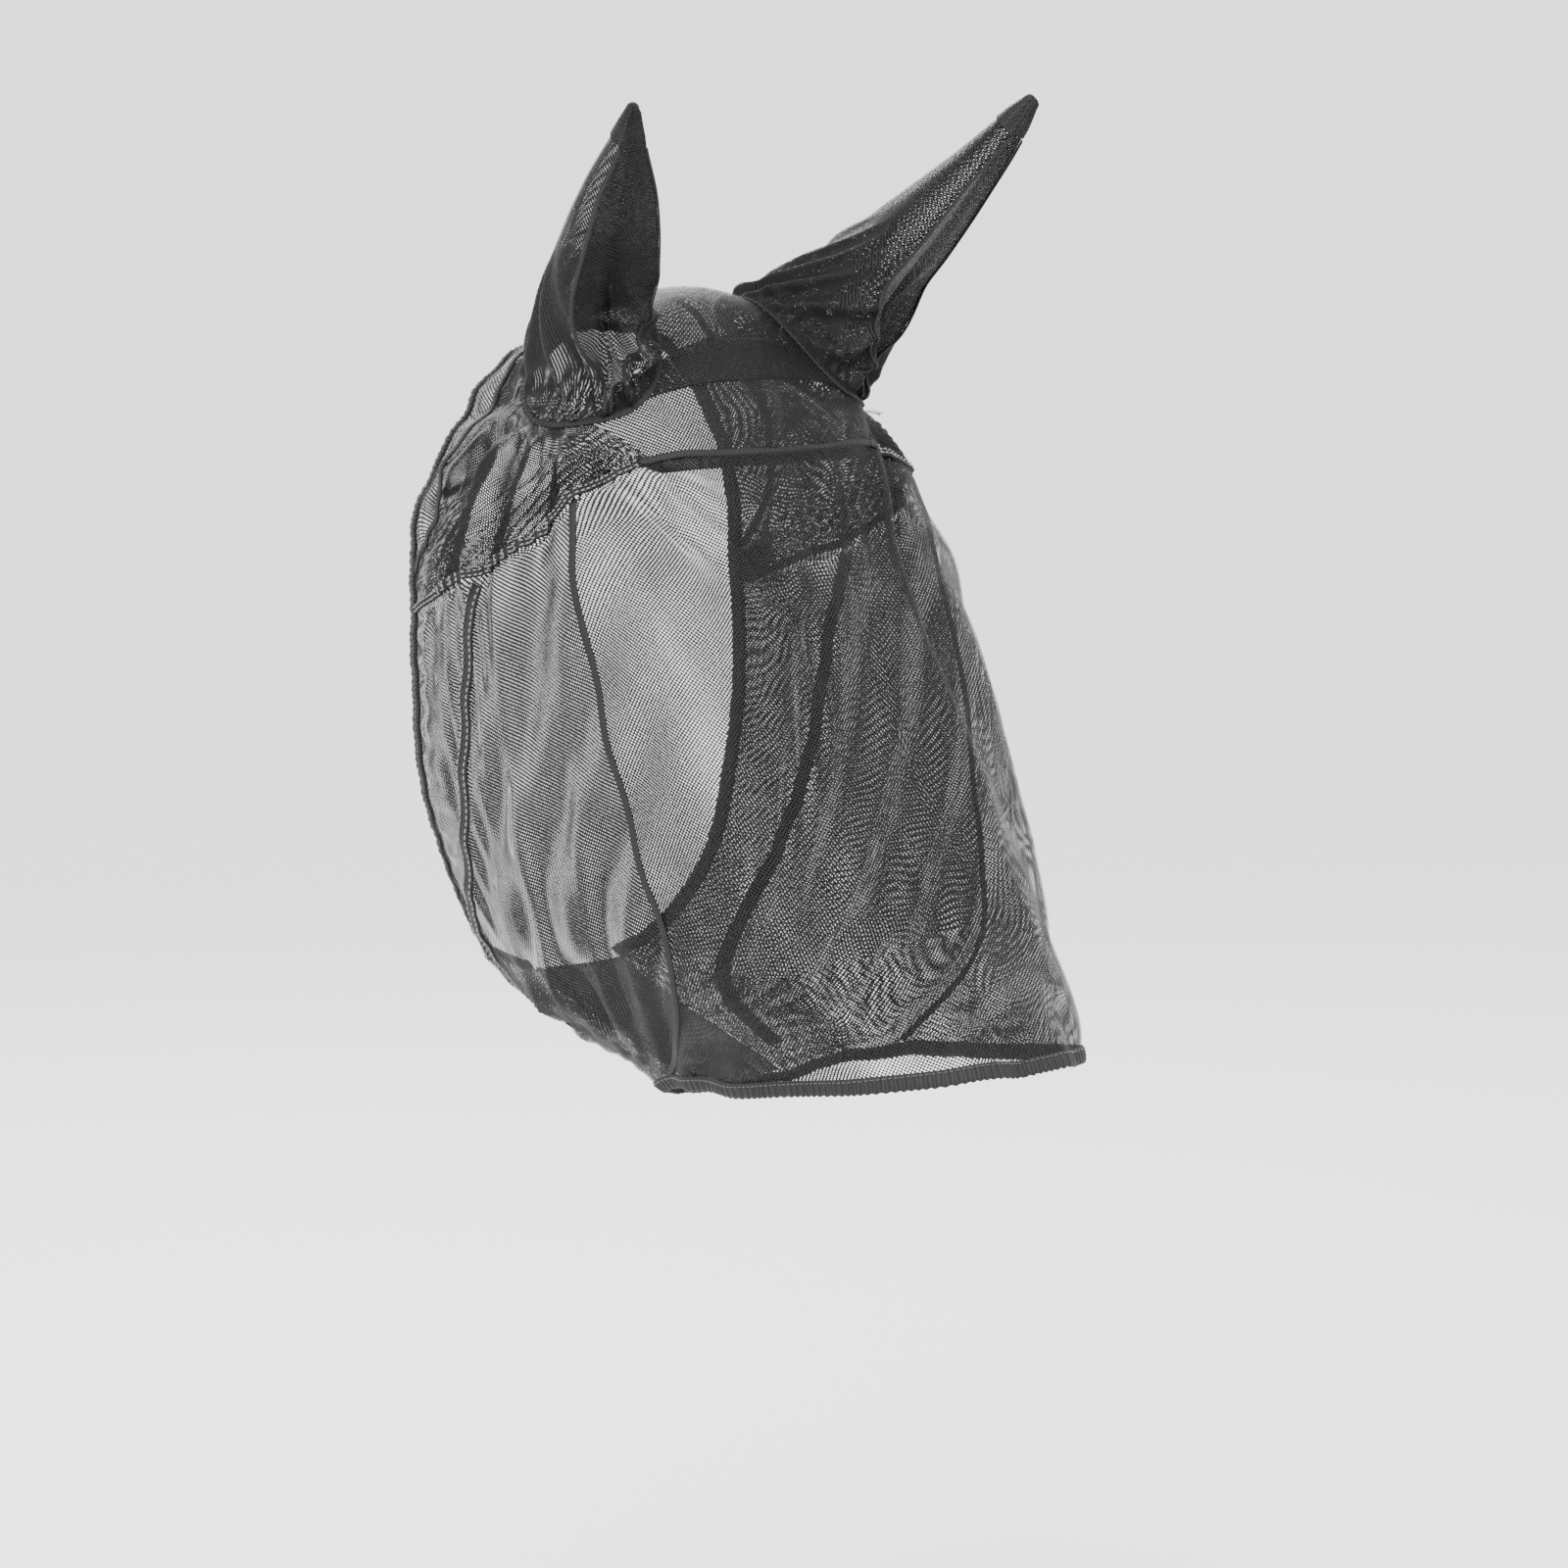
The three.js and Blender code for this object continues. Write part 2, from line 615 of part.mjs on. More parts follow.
// ---------- hood ----------
function addHood() {
  const plugs = [RIGHT, LEFT].map((side) => earPlug(earFrame(side)));
  const crown = patchGrid(
    part(browLine, CROWN_START, 1 - CROWN_START),
    napeAcross,
    crownSide(RIGHT),
    crownSide(LEFT),
    10,
    12,
    SEAM_GAP,
  );
  addMesh("crown_panel", cut(skin(crown), ...plugs), NET());
  const nape = patchGrid(
    napeWhole,
    neckTop,
    straight(napeWhole(0), neckTop(0)),
    straight(napeWhole(1), neckTop(1)),
    4,
    20,
    SEAM_GAP,
  );
  addMesh("nape_panel", skin(nape), NET());
  for (const [side, suffix, plug] of [
    [RIGHT, "right", plugs[0]],
    [LEFT, "left", plugs[1]],
  ]) {
    const gusset = patchGrid(
      crownSide(side),
      sideLine(side),
      part(browLine, side === RIGHT ? CROWN_START : 1 - CROWN_START, side === RIGHT ? 0 : 1),
      gussetBack(side),
      9,
      11,
      SEAM_GAP,
    );
    addMesh("gusset_" + suffix, cut(skin(gusset), plug), NET());
    addTape("nape_seam_" + suffix, napeLine(side), 0.02, 0.96, 18);
    addTape("side_seam_" + suffix, sideLine(side), 0.03, 0.97, 16);
  }
}

// A line of both sides read across the head: from a share of its right half to that share of its left half.
const acrossHead = (sided, share) => (u) => sided(u < 0.5 ? RIGHT : LEFT)(share * Math.abs(1 - 2 * u));
const NAPE_WHOLE = 0.95; // the nape panel stops short of the point where its two edges meet
const napeAcross = acrossHead(napeLine, NAPE_EAR);
const napeWhole = acrossHead(napeLine, NAPE_WHOLE);
const neckTop = acrossHead(neckLine, NECK_NAPE_END * NAPE_WHOLE);

// The back edge of a gusset: down the nape seam, then a little way down the neck opening.
function gussetBack(side) {
  const seam = part(napeLine(side), NAPE_EAR, 1);
  const edge = part(neckLine(side), NECK_NAPE_END, NECK_SIDE_END);
  const turnAt = 0.88;
  return (v) => (v < turnAt ? seam(v / turnAt) : edge((v - turnAt) / (1 - turnAt)));
}

const skin = (grid) => panelOf(grid, NET_THICKNESS);

// A closed panel from its outer grid, as thick as given.
function panelOf(grid, thickness) {
  const normals = gridNormals(grid, HEART);
  return shellOf(
    grid,
    grid.map((row, i) => row.map((p, j) => p.clone().addScaledVector(normals[i][j], -thickness))),
  );
}

function addTape(name, guideLine, from, to, count, width = TAPE_WIDTH) {
  const frames = formFrames(along(guideLine, from, to, count), false, TAPE_LIFT);
  addMesh(name, sweep(frames, flatSection(width, 0, TAPE_THICKNESS), false), TAPE());
}

// ---------- mask ----------
function addMask() {
  const top = (u) => {
    if (u < FACE_CORNER) return sideLine(RIGHT)(FACE_START * (1 - u / FACE_CORNER));
    if (u > 1 - FACE_CORNER) return sideLine(LEFT)(FACE_START * (1 - (1 - u) / FACE_CORNER));
    return browLine((u - FACE_CORNER) / (1 - 2 * FACE_CORNER));
  };
  const hem = (u) => hemGuide(u < 0.5 ? RIGHT : LEFT, FACE_HEM_TURN * Math.abs(1 - 2 * u));
  addMesh("face_panel", skin(patchGrid(top, hem, faceLine(RIGHT), faceLine(LEFT), 13, 20, SEAM_GAP)), NET());
  addTape("brow_seam", browLine, 0.02, 0.98, 16);
  addFacing();
  for (const [side, suffix] of [
    [RIGHT, "right"],
    [LEFT, "left"],
  ]) {
    const neckToHem = cheekBack(side);
    const cheekHem = (u) => hemGuide(side, FACE_HEM_TURN + (CHEEK_HEM_TURN - FACE_HEM_TURN) * u);
    const cheek = patchGrid(
      part(sideLine(side), FACE_START, 1),
      cheekHem,
      faceLine(side),
      neckToHem,
      14,
      9,
      SEAM_GAP,
    );
    addMesh("cheek_panel_" + suffix, skin(cheek), NET());
    addTape("face_seam_" + suffix, faceLine(side), 0.03, 0.965, 16);
    addTape("throat_band_" + suffix, throatBandLine(side), 0.0, 1.0, 20, BAND_WIDTH);
  }
}

// The strip of doubled net inside the face panel, just under the brow seam.
function addFacing() {
  const inward = -(NET_THICKNESS + FACING_INSET + TAPE_THICKNESS);
  const points = Array.from({ length: 17 }, (_, i) => {
    const p = browLine(0.03 + (0.94 * i) / 16);
    return onForm(p.add(new THREE.Vector3(0, -0.5, -0.9).multiplyScalar(FACING_WIDTH / 2 + SEAM_GAP)));
  });
  const frames = formFrames(points, false, inward);
  addMesh("brow_facing", sweep(frames, flatSection(FACING_WIDTH, 0, TAPE_THICKNESS), false), TAPE());
}

// The share of a line where its distance from the middle plane has fallen to a value, searched from an end.
function shareAtX(whole, x, from, to) {
  let a = from;
  let b = to;
  for (let k = 0; k < 40; k++) {
    const mid = (a + b) / 2;
    if (Math.abs(onForm(whole(mid)).x) > x) a = mid;
    else b = mid;
  }
  return (a + b) / 2;
}

// The turn of the nose hem, behind its side, where it is this far from the middle plane.
function turnAtX(x) {
  let a = Math.PI / 2;
  let b = Math.PI;
  for (let k = 0; k < 40; k++) {
    const mid = (a + b) / 2;
    if (hemGuide(LEFT, mid).x > x) a = mid;
    else b = mid;
  }
  return (a + b) / 2;
}

const THROAT_SHARE = shareAtX(neckLine(RIGHT), THROAT_HALF, 0.7, 1);
const CHEEK_HEM_TURN = turnAtX(THROAT_HALF);

// The back edge of a cheek panel: down the neck opening, then forward beside the closure to the nose hem.
function cheekBack(side) {
  const neck = neckLine(side);
  const throat = neck(THROAT_SHARE);
  const chin = hemGuide(side, CHEEK_HEM_TURN);
  const turnAt = 0.68;
  return (v) => {
    if (v < turnAt) return neck(NECK_SIDE_END + ((THROAT_SHARE - NECK_SIDE_END) * v) / turnAt);
    return throat.clone().lerp(chin, (v - turnAt) / (1 - turnAt));
  };
}

// ---------- hems ----------
// A folded hem: a channel that opens towards the panels, with the flat elastic inside it.
function addCasing(name, elasticName, points, closed, awayFrom) {
  const frames = formFrames(points, closed, -NET_THICKNESS / 2);
  const toward = frames[0].at.clone().sub(awayFrom);
  const sign = frames[0].across.dot(toward) < 0 ? -1 : 1;
  const h = CASING_HEIGHT;
  const t = CASING_THICKNESS / 2;
  const w = CASING_WALL;
  const channel = [
    [0, t],
    [h - 1, t],
    [h, t - 1],
    [h, 1 - t],
    [h - 1, -t],
    [0, -t],
    [0, w - t],
    [h - w, w - t],
    [h - w, t - w],
    [0, t - w],
  ].map(([a, o]) => [sign * a, o]);
  addMesh(name, sweep(frames, channel, closed), TAPE());
  const c = ELASTIC_CLEARANCE;
  const band = [
    [c + 1, t - w - c],
    [h - w - c, t - w - c],
    [h - w - c, w - t + c],
    [c + 1, w - t + c],
  ].map(([a, o]) => [sign * a, o]);
  const inner = closed ? frames : frames.slice(1, -1);
  addMesh(elasticName, sweep(inner, band, closed), ELASTIC());
}

// Points at even spacing round a closed loop of close points.
function evenLoop(loop, count) {
  const far = [0];
  for (let i = 0; i < loop.length; i++) far.push(far[i] + loop[i].distanceTo(loop[(i + 1) % loop.length]));
  let i = 0;
  return Array.from({ length: count }, (_, k) => {
    const want = (far[loop.length] * k) / count;
    while (far[i + 1] < want) i++;
    return loop[i].clone().lerp(loop[(i + 1) % loop.length], (want - far[i]) / (far[i + 1] - far[i]));
  });
}

function addHems() {
  const dense = Array.from({ length: 720 }, (_, k) => hemGuide(RIGHT, (Math.PI * k) / 360));
  const nose = evenLoop(dense, 72).map((p) => onForm(p));
  addCasing("nose_casing", "nose_elastic", nose, true, guide(0, -150, -300));
  const neckCount = 26;
  const half = (side) =>
    Array.from({ length: neckCount + 1 }, (_, k) => onForm(neckLine(side)((THROAT_SHARE * k) / neckCount)));
  const neck = [...half(RIGHT).reverse(), ...half(LEFT).slice(1)];
  addCasing("neck_casing", "neck_elastic", neck, false, guide(0, -60, -340));
}

// ---------- closure under the jaw ----------
function addClosure() {
  const frames = closureFrames();
  const half = FLAP_WIDTH / 2;
  const level = (from, thickness) => [from, from + thickness];
  const plate = (left, right, [low, high]) =>
    sweep(
      frames,
      [
        [left, low],
        [right, low],
        [right, high],
        [left, high],
      ],
      false,
    );
  const under = level(-FLAP_THICKNESS, FLAP_THICKNESS);
  const loop = level(under[1] + LAYER_GAP, STRIP_THICKNESS);
  const hook = level(loop[1] + LAYER_GAP, STRIP_THICKNESS);
  const over = level(hook[1] + LAYER_GAP, FLAP_THICKNESS);
  addMesh("under_flap", plate(-half + 4, THROAT_HALF - SEAM_GAP, under), NET());
  addMesh("loop_strip", plate(-STRIP_WIDTH / 2, STRIP_WIDTH / 2, loop), HOOK());
  addMesh("hook_strip", plate(-STRIP_WIDTH / 2, STRIP_WIDTH / 2, hook), HOOK());
  addMesh("throat_flap", plate(-THROAT_HALF, half - 4, over), NET());
}

// Two frames along the middle of the closure: across is the horse's left and out is down.
function closureFrames() {
  const edge = (y) => {
    const p = onForm(guide(THROAT_HALF, y, -390));
    return p.setX(0);
  };
  const throat = onForm(neckLine(LEFT)(THROAT_SHARE)).setX(0);
  const chin = onForm(hemGuide(LEFT, CHEEK_HEM_TURN)).setX(0);
  const way = chin.clone().sub(throat).normalize();
  const out = new THREE.Vector3(0, way.z, -way.y);
  if (out.z > 0) out.negate();
  const across = new THREE.Vector3(1, 0, 0);
  const sag = Math.max(...[60, 40, 20, 0].map((y) => edge(y).sub(throat).dot(out)));
  return [
    { at: throat.clone().addScaledVector(way, FLAP_END_GAP).addScaledVector(out, sag), across, out },
    { at: chin.clone().addScaledVector(way, -FLAP_END_GAP).addScaledVector(out, sag), across, out },
  ];
}

// ---------- tag ----------
// A small plain woven label that stands out from the seam round the left ear's base.
function addTag() {
  const frame = earFrame(LEFT);
  const reach = EAR_CLEARANCE + EAR_RING_GAP + EAR_RING_WIDTH + TAG_GAP;
  const foot = onForm(besideEar(frame, reach, TAG_ANGLE));
  const up = normalAt(foot);
  const across = onForm(besideEar(frame, reach, TAG_ANGLE + 0.05)).sub(foot);
  across.addScaledVector(up, -across.dot(up)).normalize();
  const away = new THREE.Vector3().crossVectors(across, up);
  if (away.dot(foot.clone().sub(frame.base)) < 0) away.negate();
  const out = up.clone().add(away).normalize();
  const thin = new THREE.Vector3().crossVectors(out, across).normalize();
  const box = new THREE.BoxGeometry(TAG_WIDTH, TAG_THICKNESS, TAG_LENGTH);
  const mesh = new THREE.Mesh(box, LABEL());
  mesh.name = "tag";
  mesh.matrixAutoUpdate = false;
  const middle = foot.addScaledVector(up, TAG_STAND_OFF).addScaledVector(out, TAG_LENGTH / 2);
  mesh.matrix.makeBasis(across, thin, out).setPosition(middle);
  group.add(mesh);
}

addHood();
addMask();
addHems();
addClosure();
addEar(RIGHT, "right");
addEar(LEFT, "left");
addTag();

export default group;
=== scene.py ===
"""Fly mask with ear pockets, sewn from stretch net: its looks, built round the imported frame.

Metres, +Z up. The horse faces -Y and its right side is -X. The origin is the poll.
"""

import logging
import math
from dataclasses import dataclass, field
from enum import Enum
from typing import Callable

import bpy
import numpy as np
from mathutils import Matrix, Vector


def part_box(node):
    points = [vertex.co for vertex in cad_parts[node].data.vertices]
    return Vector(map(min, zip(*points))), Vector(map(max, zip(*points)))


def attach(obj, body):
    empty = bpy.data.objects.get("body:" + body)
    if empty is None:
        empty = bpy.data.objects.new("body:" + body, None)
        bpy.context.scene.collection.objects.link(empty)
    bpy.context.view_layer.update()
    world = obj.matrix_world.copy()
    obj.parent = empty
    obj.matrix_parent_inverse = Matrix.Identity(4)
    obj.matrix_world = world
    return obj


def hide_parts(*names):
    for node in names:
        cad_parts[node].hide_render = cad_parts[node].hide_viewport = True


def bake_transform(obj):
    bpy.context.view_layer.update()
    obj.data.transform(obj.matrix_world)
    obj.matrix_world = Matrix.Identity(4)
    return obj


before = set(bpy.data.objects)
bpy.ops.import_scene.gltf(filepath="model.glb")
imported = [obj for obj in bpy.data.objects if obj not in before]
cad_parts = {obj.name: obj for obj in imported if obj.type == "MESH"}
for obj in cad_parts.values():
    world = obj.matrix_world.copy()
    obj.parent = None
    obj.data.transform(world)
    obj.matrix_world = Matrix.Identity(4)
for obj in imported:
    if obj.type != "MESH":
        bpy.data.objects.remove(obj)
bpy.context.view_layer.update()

LOG = logging.getLogger("fly_mask")
Array = np.ndarray
Line = Callable[[Array], Array]

TURN = 2 * math.pi


class Side(Enum):
    """The horse's right and left, as the sign of X."""

    RIGHT = -1
    LEFT = 1

    @property
    def word(self) -> str:
        """The end of a piece's name."""
        return self.name.lower()


# ---------------------------------------------------------------- helpers


def smooth(low: float, high: float, x: Array) -> Array:
    """A smooth step: 0 up to low, 1 from high on, and 3t^2 - 2t^3 between."""
    t = np.clip((np.asarray(x, float) - low) / (high - low), 0, 1)
    return t * t * (3 - 2 * t)


def bump(x: Array, width: float) -> Array:
    """A bell of height 1: e to the power of minus x squared over width squared."""
    return np.exp(-((x / width) ** 2))


def pleat(phase: Array, sharp: float = 0.7) -> Array:
    """Folds of net from -1 to 1: a sine whose crests are narrowed by raising its half to a power."""
    return 2 * (0.5 + 0.5 * np.sin(phase)) ** (1 / sharp) - 1


def unit(v: Array) -> Array:
    """Vectors of length 1 in the same directions."""
    return v / np.maximum(np.linalg.norm(v, axis=-1, keepdims=True), 1e-12)


def cubic_run(at: Array, values: tuple[float, ...], x: Array) -> Array:
    """Values read between the places they are given at, on cubics whose slopes match at each place.

    Args:
        at: the places, rising.
        values: the value at each.
        x: where to read.

    Returns:
        The values at x; past the last place they go on along its slope.
    """
    v = np.array(values)
    slope = np.empty_like(v)
    slope[1:-1] = (v[2:] - v[:-2]) / (at[2:] - at[:-2])
    slope[0] = (v[1] - v[0]) / (at[1] - at[0])
    slope[-1] = (v[-1] - v[-2]) / (at[-1] - at[-2])
    i = np.clip(np.searchsorted(at, x, side="left") - 1, 0, len(at) - 2)
    span = at[i + 1] - at[i]
    t = np.clip((x - at[i]) / span, 0, 1)
    past = x - at[i] - t * span
    rise = v[i + 1] - v[i]
    bend = t * (1 - t) * ((1 - t) * (slope[i] * span - rise) - t * (slope[i + 1] * span - rise))
    return v[i] + rise * t + bend + past * slope[i + 1]


@dataclass(frozen=True)
class Ripple:
    """A gentle unevenness in space: a few plane sine waves in seeded directions."""

    seed: int
    length: float
    waves: int = 7

    def at(self, p: Array) -> Array:
        """The wave's value from about -1 to 1.

        Args:
            p: points, in metres.

        Returns:
            The mean of sin(k . p + phase) over the waves, scaled to about 1.
        """
        rng = np.random.default_rng(self.seed)
        ways = unit(rng.normal(size=(self.waves, 3))) * TURN / self.length
        ways *= rng.uniform(0.6, 1.5, size=(self.waves, 1))
        phases = rng.uniform(0, TURN, self.waves)
        return np.sin(p @ ways.T + phases).mean(-1) * 1.8


# ---------------------------------------------------------------- the worn form


@dataclass(frozen=True)
class HeadForm:
    """The shape that the net takes when worn: level superellipses from the poll to the nose hem."""

    drop: float = 0.405
    breadth: float = 0.242
    reach: float = 0.426
    back_square: float = 2.7
    heart: tuple[float, float, float] = (0.0, -0.0426, -0.19845)
    drops: tuple[float, ...] = (0.0, 0.012, 0.049, 0.114, 0.2, 0.328, 0.501, 0.625, 0.79, 0.9, 1.0)
    fronts: tuple[float, ...] = (
        0.023, -0.028, -0.066, -0.106, -0.148, -0.24, -0.358, -0.43, -0.522, -0.592, -0.636)
    wides: tuple[float, ...] = (
        0.023, 0.021, 0.019, 0.016, 0.012, 0.0, -0.023, -0.052, -0.135, -0.223, -0.34)
    backs: tuple[float, ...] = (
        0.023, 0.105, 0.188, 0.268, 0.32, 0.37, 0.4, 0.395, 0.335, 0.24, -0.054)
    halves: tuple[float, ...] = (
        0.0, 0.24, 0.435, 0.675, 0.885, 1.01, 1.0, 0.98, 0.885, 0.755, 0.64)
    squares: tuple[float, ...] = (2.2, 2.3, 2.4, 2.6, 2.9, 3.1, 3.0, 2.8, 2.6, 2.45, 2.3)

    def run(self, values: tuple[float, ...], x: Array) -> Array:
        """Stations' values read at x, the square root of the drop."""
        return cubic_run(np.sqrt(np.array(self.drops)), values, x)

    def reach_of(self, p: Array) -> Array:
        """How far outside the form points are: 1 on it, less inside.

        Each level is a superellipse |x/half|^n + |(y - wide)/depth|^n = 1, with its own n in front and
        behind.
        """
        x = np.sqrt(np.maximum(-p[..., 2] / self.drop, 1e-7))
        half = np.maximum(self.run(self.halves, x) * self.breadth / 2, 1e-6)
        wide = self.run(self.wides, x) * self.reach
        ahead = p[..., 1] < wide
        front = wide - self.run(self.fronts, x) * self.reach
        back = self.run(self.backs, x) * self.reach - wide
        depth = np.maximum(np.where(ahead, front, back), 1e-6)
        power = np.where(ahead, self.run(self.squares, x), self.back_square)
        over = np.maximum(p[..., 2], 0) * 1000
        level = np.abs(p[..., 0] / half) ** power + np.abs((p[..., 1] - wide) / depth) ** power
        return level ** (1 / power) + over

    def on(self, guide: Array) -> Array:
        """The form's points in the directions of guide points from the heart, by bisection."""
        heart = np.array(self.heart)
        way = unit(np.asarray(guide, float) - heart)
        near = np.full(way.shape[:-1], 0.001)
        far = np.full(way.shape[:-1], 0.8)
        for _ in range(34):
            mid = (near + far) / 2
            inside = self.reach_of(heart + way * mid[..., None]) < 1
            near = np.where(inside, mid, near)
            far = np.where(inside, far, mid)
        return heart + way * near[..., None]

    def normal(self, p: Array) -> Array:
        """Outward directions of the form: the slope of reach_of in X, Y and Z."""
        step = 0.0004
        slopes = [self.reach_of(p + e) - self.reach_of(p - e) for e in np.eye(3) * step]
        return unit(np.stack(slopes, -1))

    def hem(self, side: Side, turn: Array, front_z: float = -0.366, back_z: float = -0.408) -> Array:
        """Points of the nose hem: turn 0 is the front, a quarter turn this side, and half a turn the chin."""
        z = front_z + (back_z - front_z) * (1 - np.cos(turn)) / 2
        x = np.sqrt(-z / self.drop)
        forward = np.cos(turn) > 0
        power = 2 / np.where(forward, self.run(self.squares, x), self.back_square)
        wide = self.run(self.wides, x) * self.reach
        front = wide - self.run(self.fronts, x) * self.reach
        depth = np.where(forward, front, self.run(self.backs, x) * self.reach - wide)
        y = wide - np.sign(np.cos(turn)) * depth * np.abs(np.cos(turn)) ** power
        half = self.run(self.halves, x) * self.breadth / 2
        across = side.value * np.sign(np.sin(turn)) * half * np.abs(np.sin(turn)) ** power
        return np.stack([across, y, z], -1)


FORM = HeadForm()


def smooth_line(points: Array) -> Line:
    """A centripetal Catmull-Rom line: each span's knots are spaced by the square root of its chord.

    Args:
        points: (n, 3) points in metres.

    Returns:
        A function from shares, 0 to 1 counted by point, to points.
    """
    p = np.asarray(points, float)
    p = np.vstack([2 * p[0] - p[1], p, 2 * p[-1] - p[-2]])
    count = len(p) - 2

    def read(t: Array) -> Array:
        place = np.clip(np.asarray(t, float), 0, 1) * (count - 1)
        i = np.minimum(place.astype(int), count - 2)
        w = (place - i)[..., None]
        a, b, c, d = p[i], p[i + 1], p[i + 2], p[i + 3]
        g0, g1, g2 = (np.linalg.norm(v, axis=-1, keepdims=True) ** 0.5 for v in (b - a, c - b, d - c))
        m1 = ((b - a) / g0 - (c - a) / (g0 + g1) + (c - b) / g1) * g1
        m2 = ((c - b) / g1 - (d - b) / (g1 + g2) + (d - c) / g2) * g1
        return b + m1 * w + (-3 * b + 3 * c - 2 * m1 - m2) * w**2 + (2 * b - 2 * c + m1 + m2) * w**3

    return read


def part(line: Line, start: float, end: float) -> Line:
    """A stretch of a line, read from 0 to 1."""
    return lambda t: line(start + (end - start) * np.asarray(t, float))


def straight(a: Array, b: Array) -> Line:
    """The straight guide from a to b."""
    return lambda t: a + (b - a) * np.asarray(t, float)[..., None]


def chain(*stretches: tuple[float, Line]) -> Line:
    """Lines end to end, each given with the share of the whole at which it ends."""

    def read(t: Array) -> Array:
        t = np.clip(np.asarray(t, float), 0, 1)
        out = np.zeros(t.shape + (3,))
        start = 0.0
        for end, line in stretches:
            here = (t >= start) & (t <= end)
            out[here] = line((t[here] - start) / (end - start))
            start = end
        return out

    return read


@dataclass(frozen=True)
class Pattern:
    """The seam lines of the mask, as guides that are cast onto the worn form."""

    face_corner: float = 0.1
    face_start: float = 0.2
    face_hem_turn: float = 1.9
    crown_start: float = 0.05
    nape_ear: float = 0.4
    neck_nape: float = 0.465
    neck_side: float = 0.5
    throat_half: float = 0.029
    cheek_turn: float = 0.68

    @staticmethod
    def mm(side: Side, points: list[tuple[float, float, float]]) -> Array:
        """Guide points given in millimetres for the left, for either side in metres."""
        return np.array(points) * [side.value / 1000, 0.001, 0.001]

    def neck(self, side: Side) -> Line:
        """The neck edge from the middle of the nape down to the throat."""
        return smooth_line(self.mm(side, [
            (0, 84, -22), (47, 86, -28), (77, 93, -46), (96, 97, -78), (106, 96, -120), (108, 93, -168),
            (111, 98, -228), (108, 103, -278), (94, 103, -320), (60, 100, -352), (0, 98, -364)]))

    def brow(self) -> Line:
        """The brow seam from the right corner to the left."""
        return smooth_line(self.mm(Side.LEFT, [
            (-78, -52, -84), (-40, -60, -82), (0, -62, -81), (40, -60, -82), (78, -52, -84)]))

    def brow_end(self, side: Side, share: float) -> float:
        """Where on the brow seam a share from this side's corner is."""
        return share if side is Side.RIGHT else 1 - share

    def flank(self, side: Side) -> Line:
        """The side seam from the brow corner back to the neck edge."""
        return smooth_line(np.vstack([
            self.brow()(self.brow_end(side, 0)),
            self.mm(side, [(103, -38, -103), (115, -19, -120), (117, 12, -138), (113, 51, -153)]),
            self.neck(side)(self.neck_side)]))

    def face(self, side: Side) -> Line:
        """The long seam between the face and cheek panels, down to the nose hem."""
        return smooth_line(np.vstack([
            self.flank(side)(self.face_start),
            self.mm(side, [(117, -55, -160), (116, -85, -253), (95, -104, -345)]),
            FORM.hem(side, np.array(self.face_hem_turn))]))

    def nape(self, side: Side) -> Line:
        """The nape seam from the middle down behind the ear to the neck edge."""
        return smooth_line(np.vstack([
            self.mm(side, [(0, 47, -8), (35, 50, -16), (62, 57, -42), (92, 57, -85), (104, 66, -120)]),
            self.neck(side)(self.neck_nape)]))

    def throat_band(self, side: Side) -> Line:
        """The elastic down the back of the cheek, then forward under the jaw."""
        return smooth_line(self.mm(side, [
            (116, 24, -150), (118, 36, -190), (117, 42, -228), (112, 48, -268), (102, 56, -303),
            (84, 66, -338), (62, 56, -366), (50, 22, -384), (44, -12, -397)]))

    def across(self, sided: Callable[[Side], Line], share: float) -> Line:
        """A line of both sides, read from the right across the head to the left."""
        right, left = sided(Side.RIGHT), sided(Side.LEFT)

        def read(u: Array) -> Array:
            u = np.asarray(u, float)
            t = share * np.abs(1 - 2 * u)
            return np.where((u < 0.5)[..., None], right(t), left(t))

        return read

    def throat_share(self) -> float:
        """Where on the neck edge the closure's side is, by bisection on its distance from the middle."""
        low, high = 0.7, 1.0
        neck = self.neck(Side.RIGHT)
        for _ in range(40):
            mid = (low + high) / 2
            wide = abs(FORM.on(neck(np.array(mid)))[0]) > self.throat_half
            low, high = (mid, high) if wide else (low, mid)
        return (low + high) / 2

    def chin_turn(self) -> float:
        """Where on the nose hem the closure's side is, by bisection on its distance from the middle."""
        low, high = math.pi / 2, math.pi
        for _ in range(40):
            mid = (low + high) / 2
            wide = FORM.hem(Side.LEFT, np.array(mid))[0] > self.throat_half
            low, high = (mid, high) if wide else (low, mid)
        return (low + high) / 2


CUT = Pattern()


# ---------------------------------------------------------------- meshes


@dataclass(frozen=True)
class Weave:
    """Flattened lengths of a cloth grid: each point's distance along its row and its column from the middle.

    Attributes:
        turn: the angle of the net's grain.
        full: how much longer the weave is laid than the row is, for gathered cloth.
    """

    turn: float = 0.0
    full: float = 1.0

    def lay(self, grid: Array) -> Array:
        """The grid's UV map in metres, with the net's grain turned by an angle.

        Args:
            grid: (rows, cols, 3) points.

        Returns:
            (rows, cols, 2): running sums of the chords, measured from the middle column and the middle row.
        """
        u = np.cumsum(np.linalg.norm(np.diff(grid, axis=1, prepend=grid[:, :1]), axis=-1), axis=1)
        v = np.cumsum(np.linalg.norm(np.diff(grid, axis=0, prepend=grid[:1]), axis=-1), axis=0)
        u = (u - u[:, grid.shape[1] // 2][:, None]) * self.full
        v -= v[grid.shape[0] // 2][None, :]
        c, s = math.cos(self.turn), math.sin(self.turn)
        return np.stack([c * u - s * v, s * u + c * v], -1)


def grid_normals(grid: Array) -> Array:
    """Unit normals of a grid: the cross product of its slopes along columns and rows."""
    return unit(np.cross(np.gradient(grid, axis=1), np.gradient(grid, axis=0)))


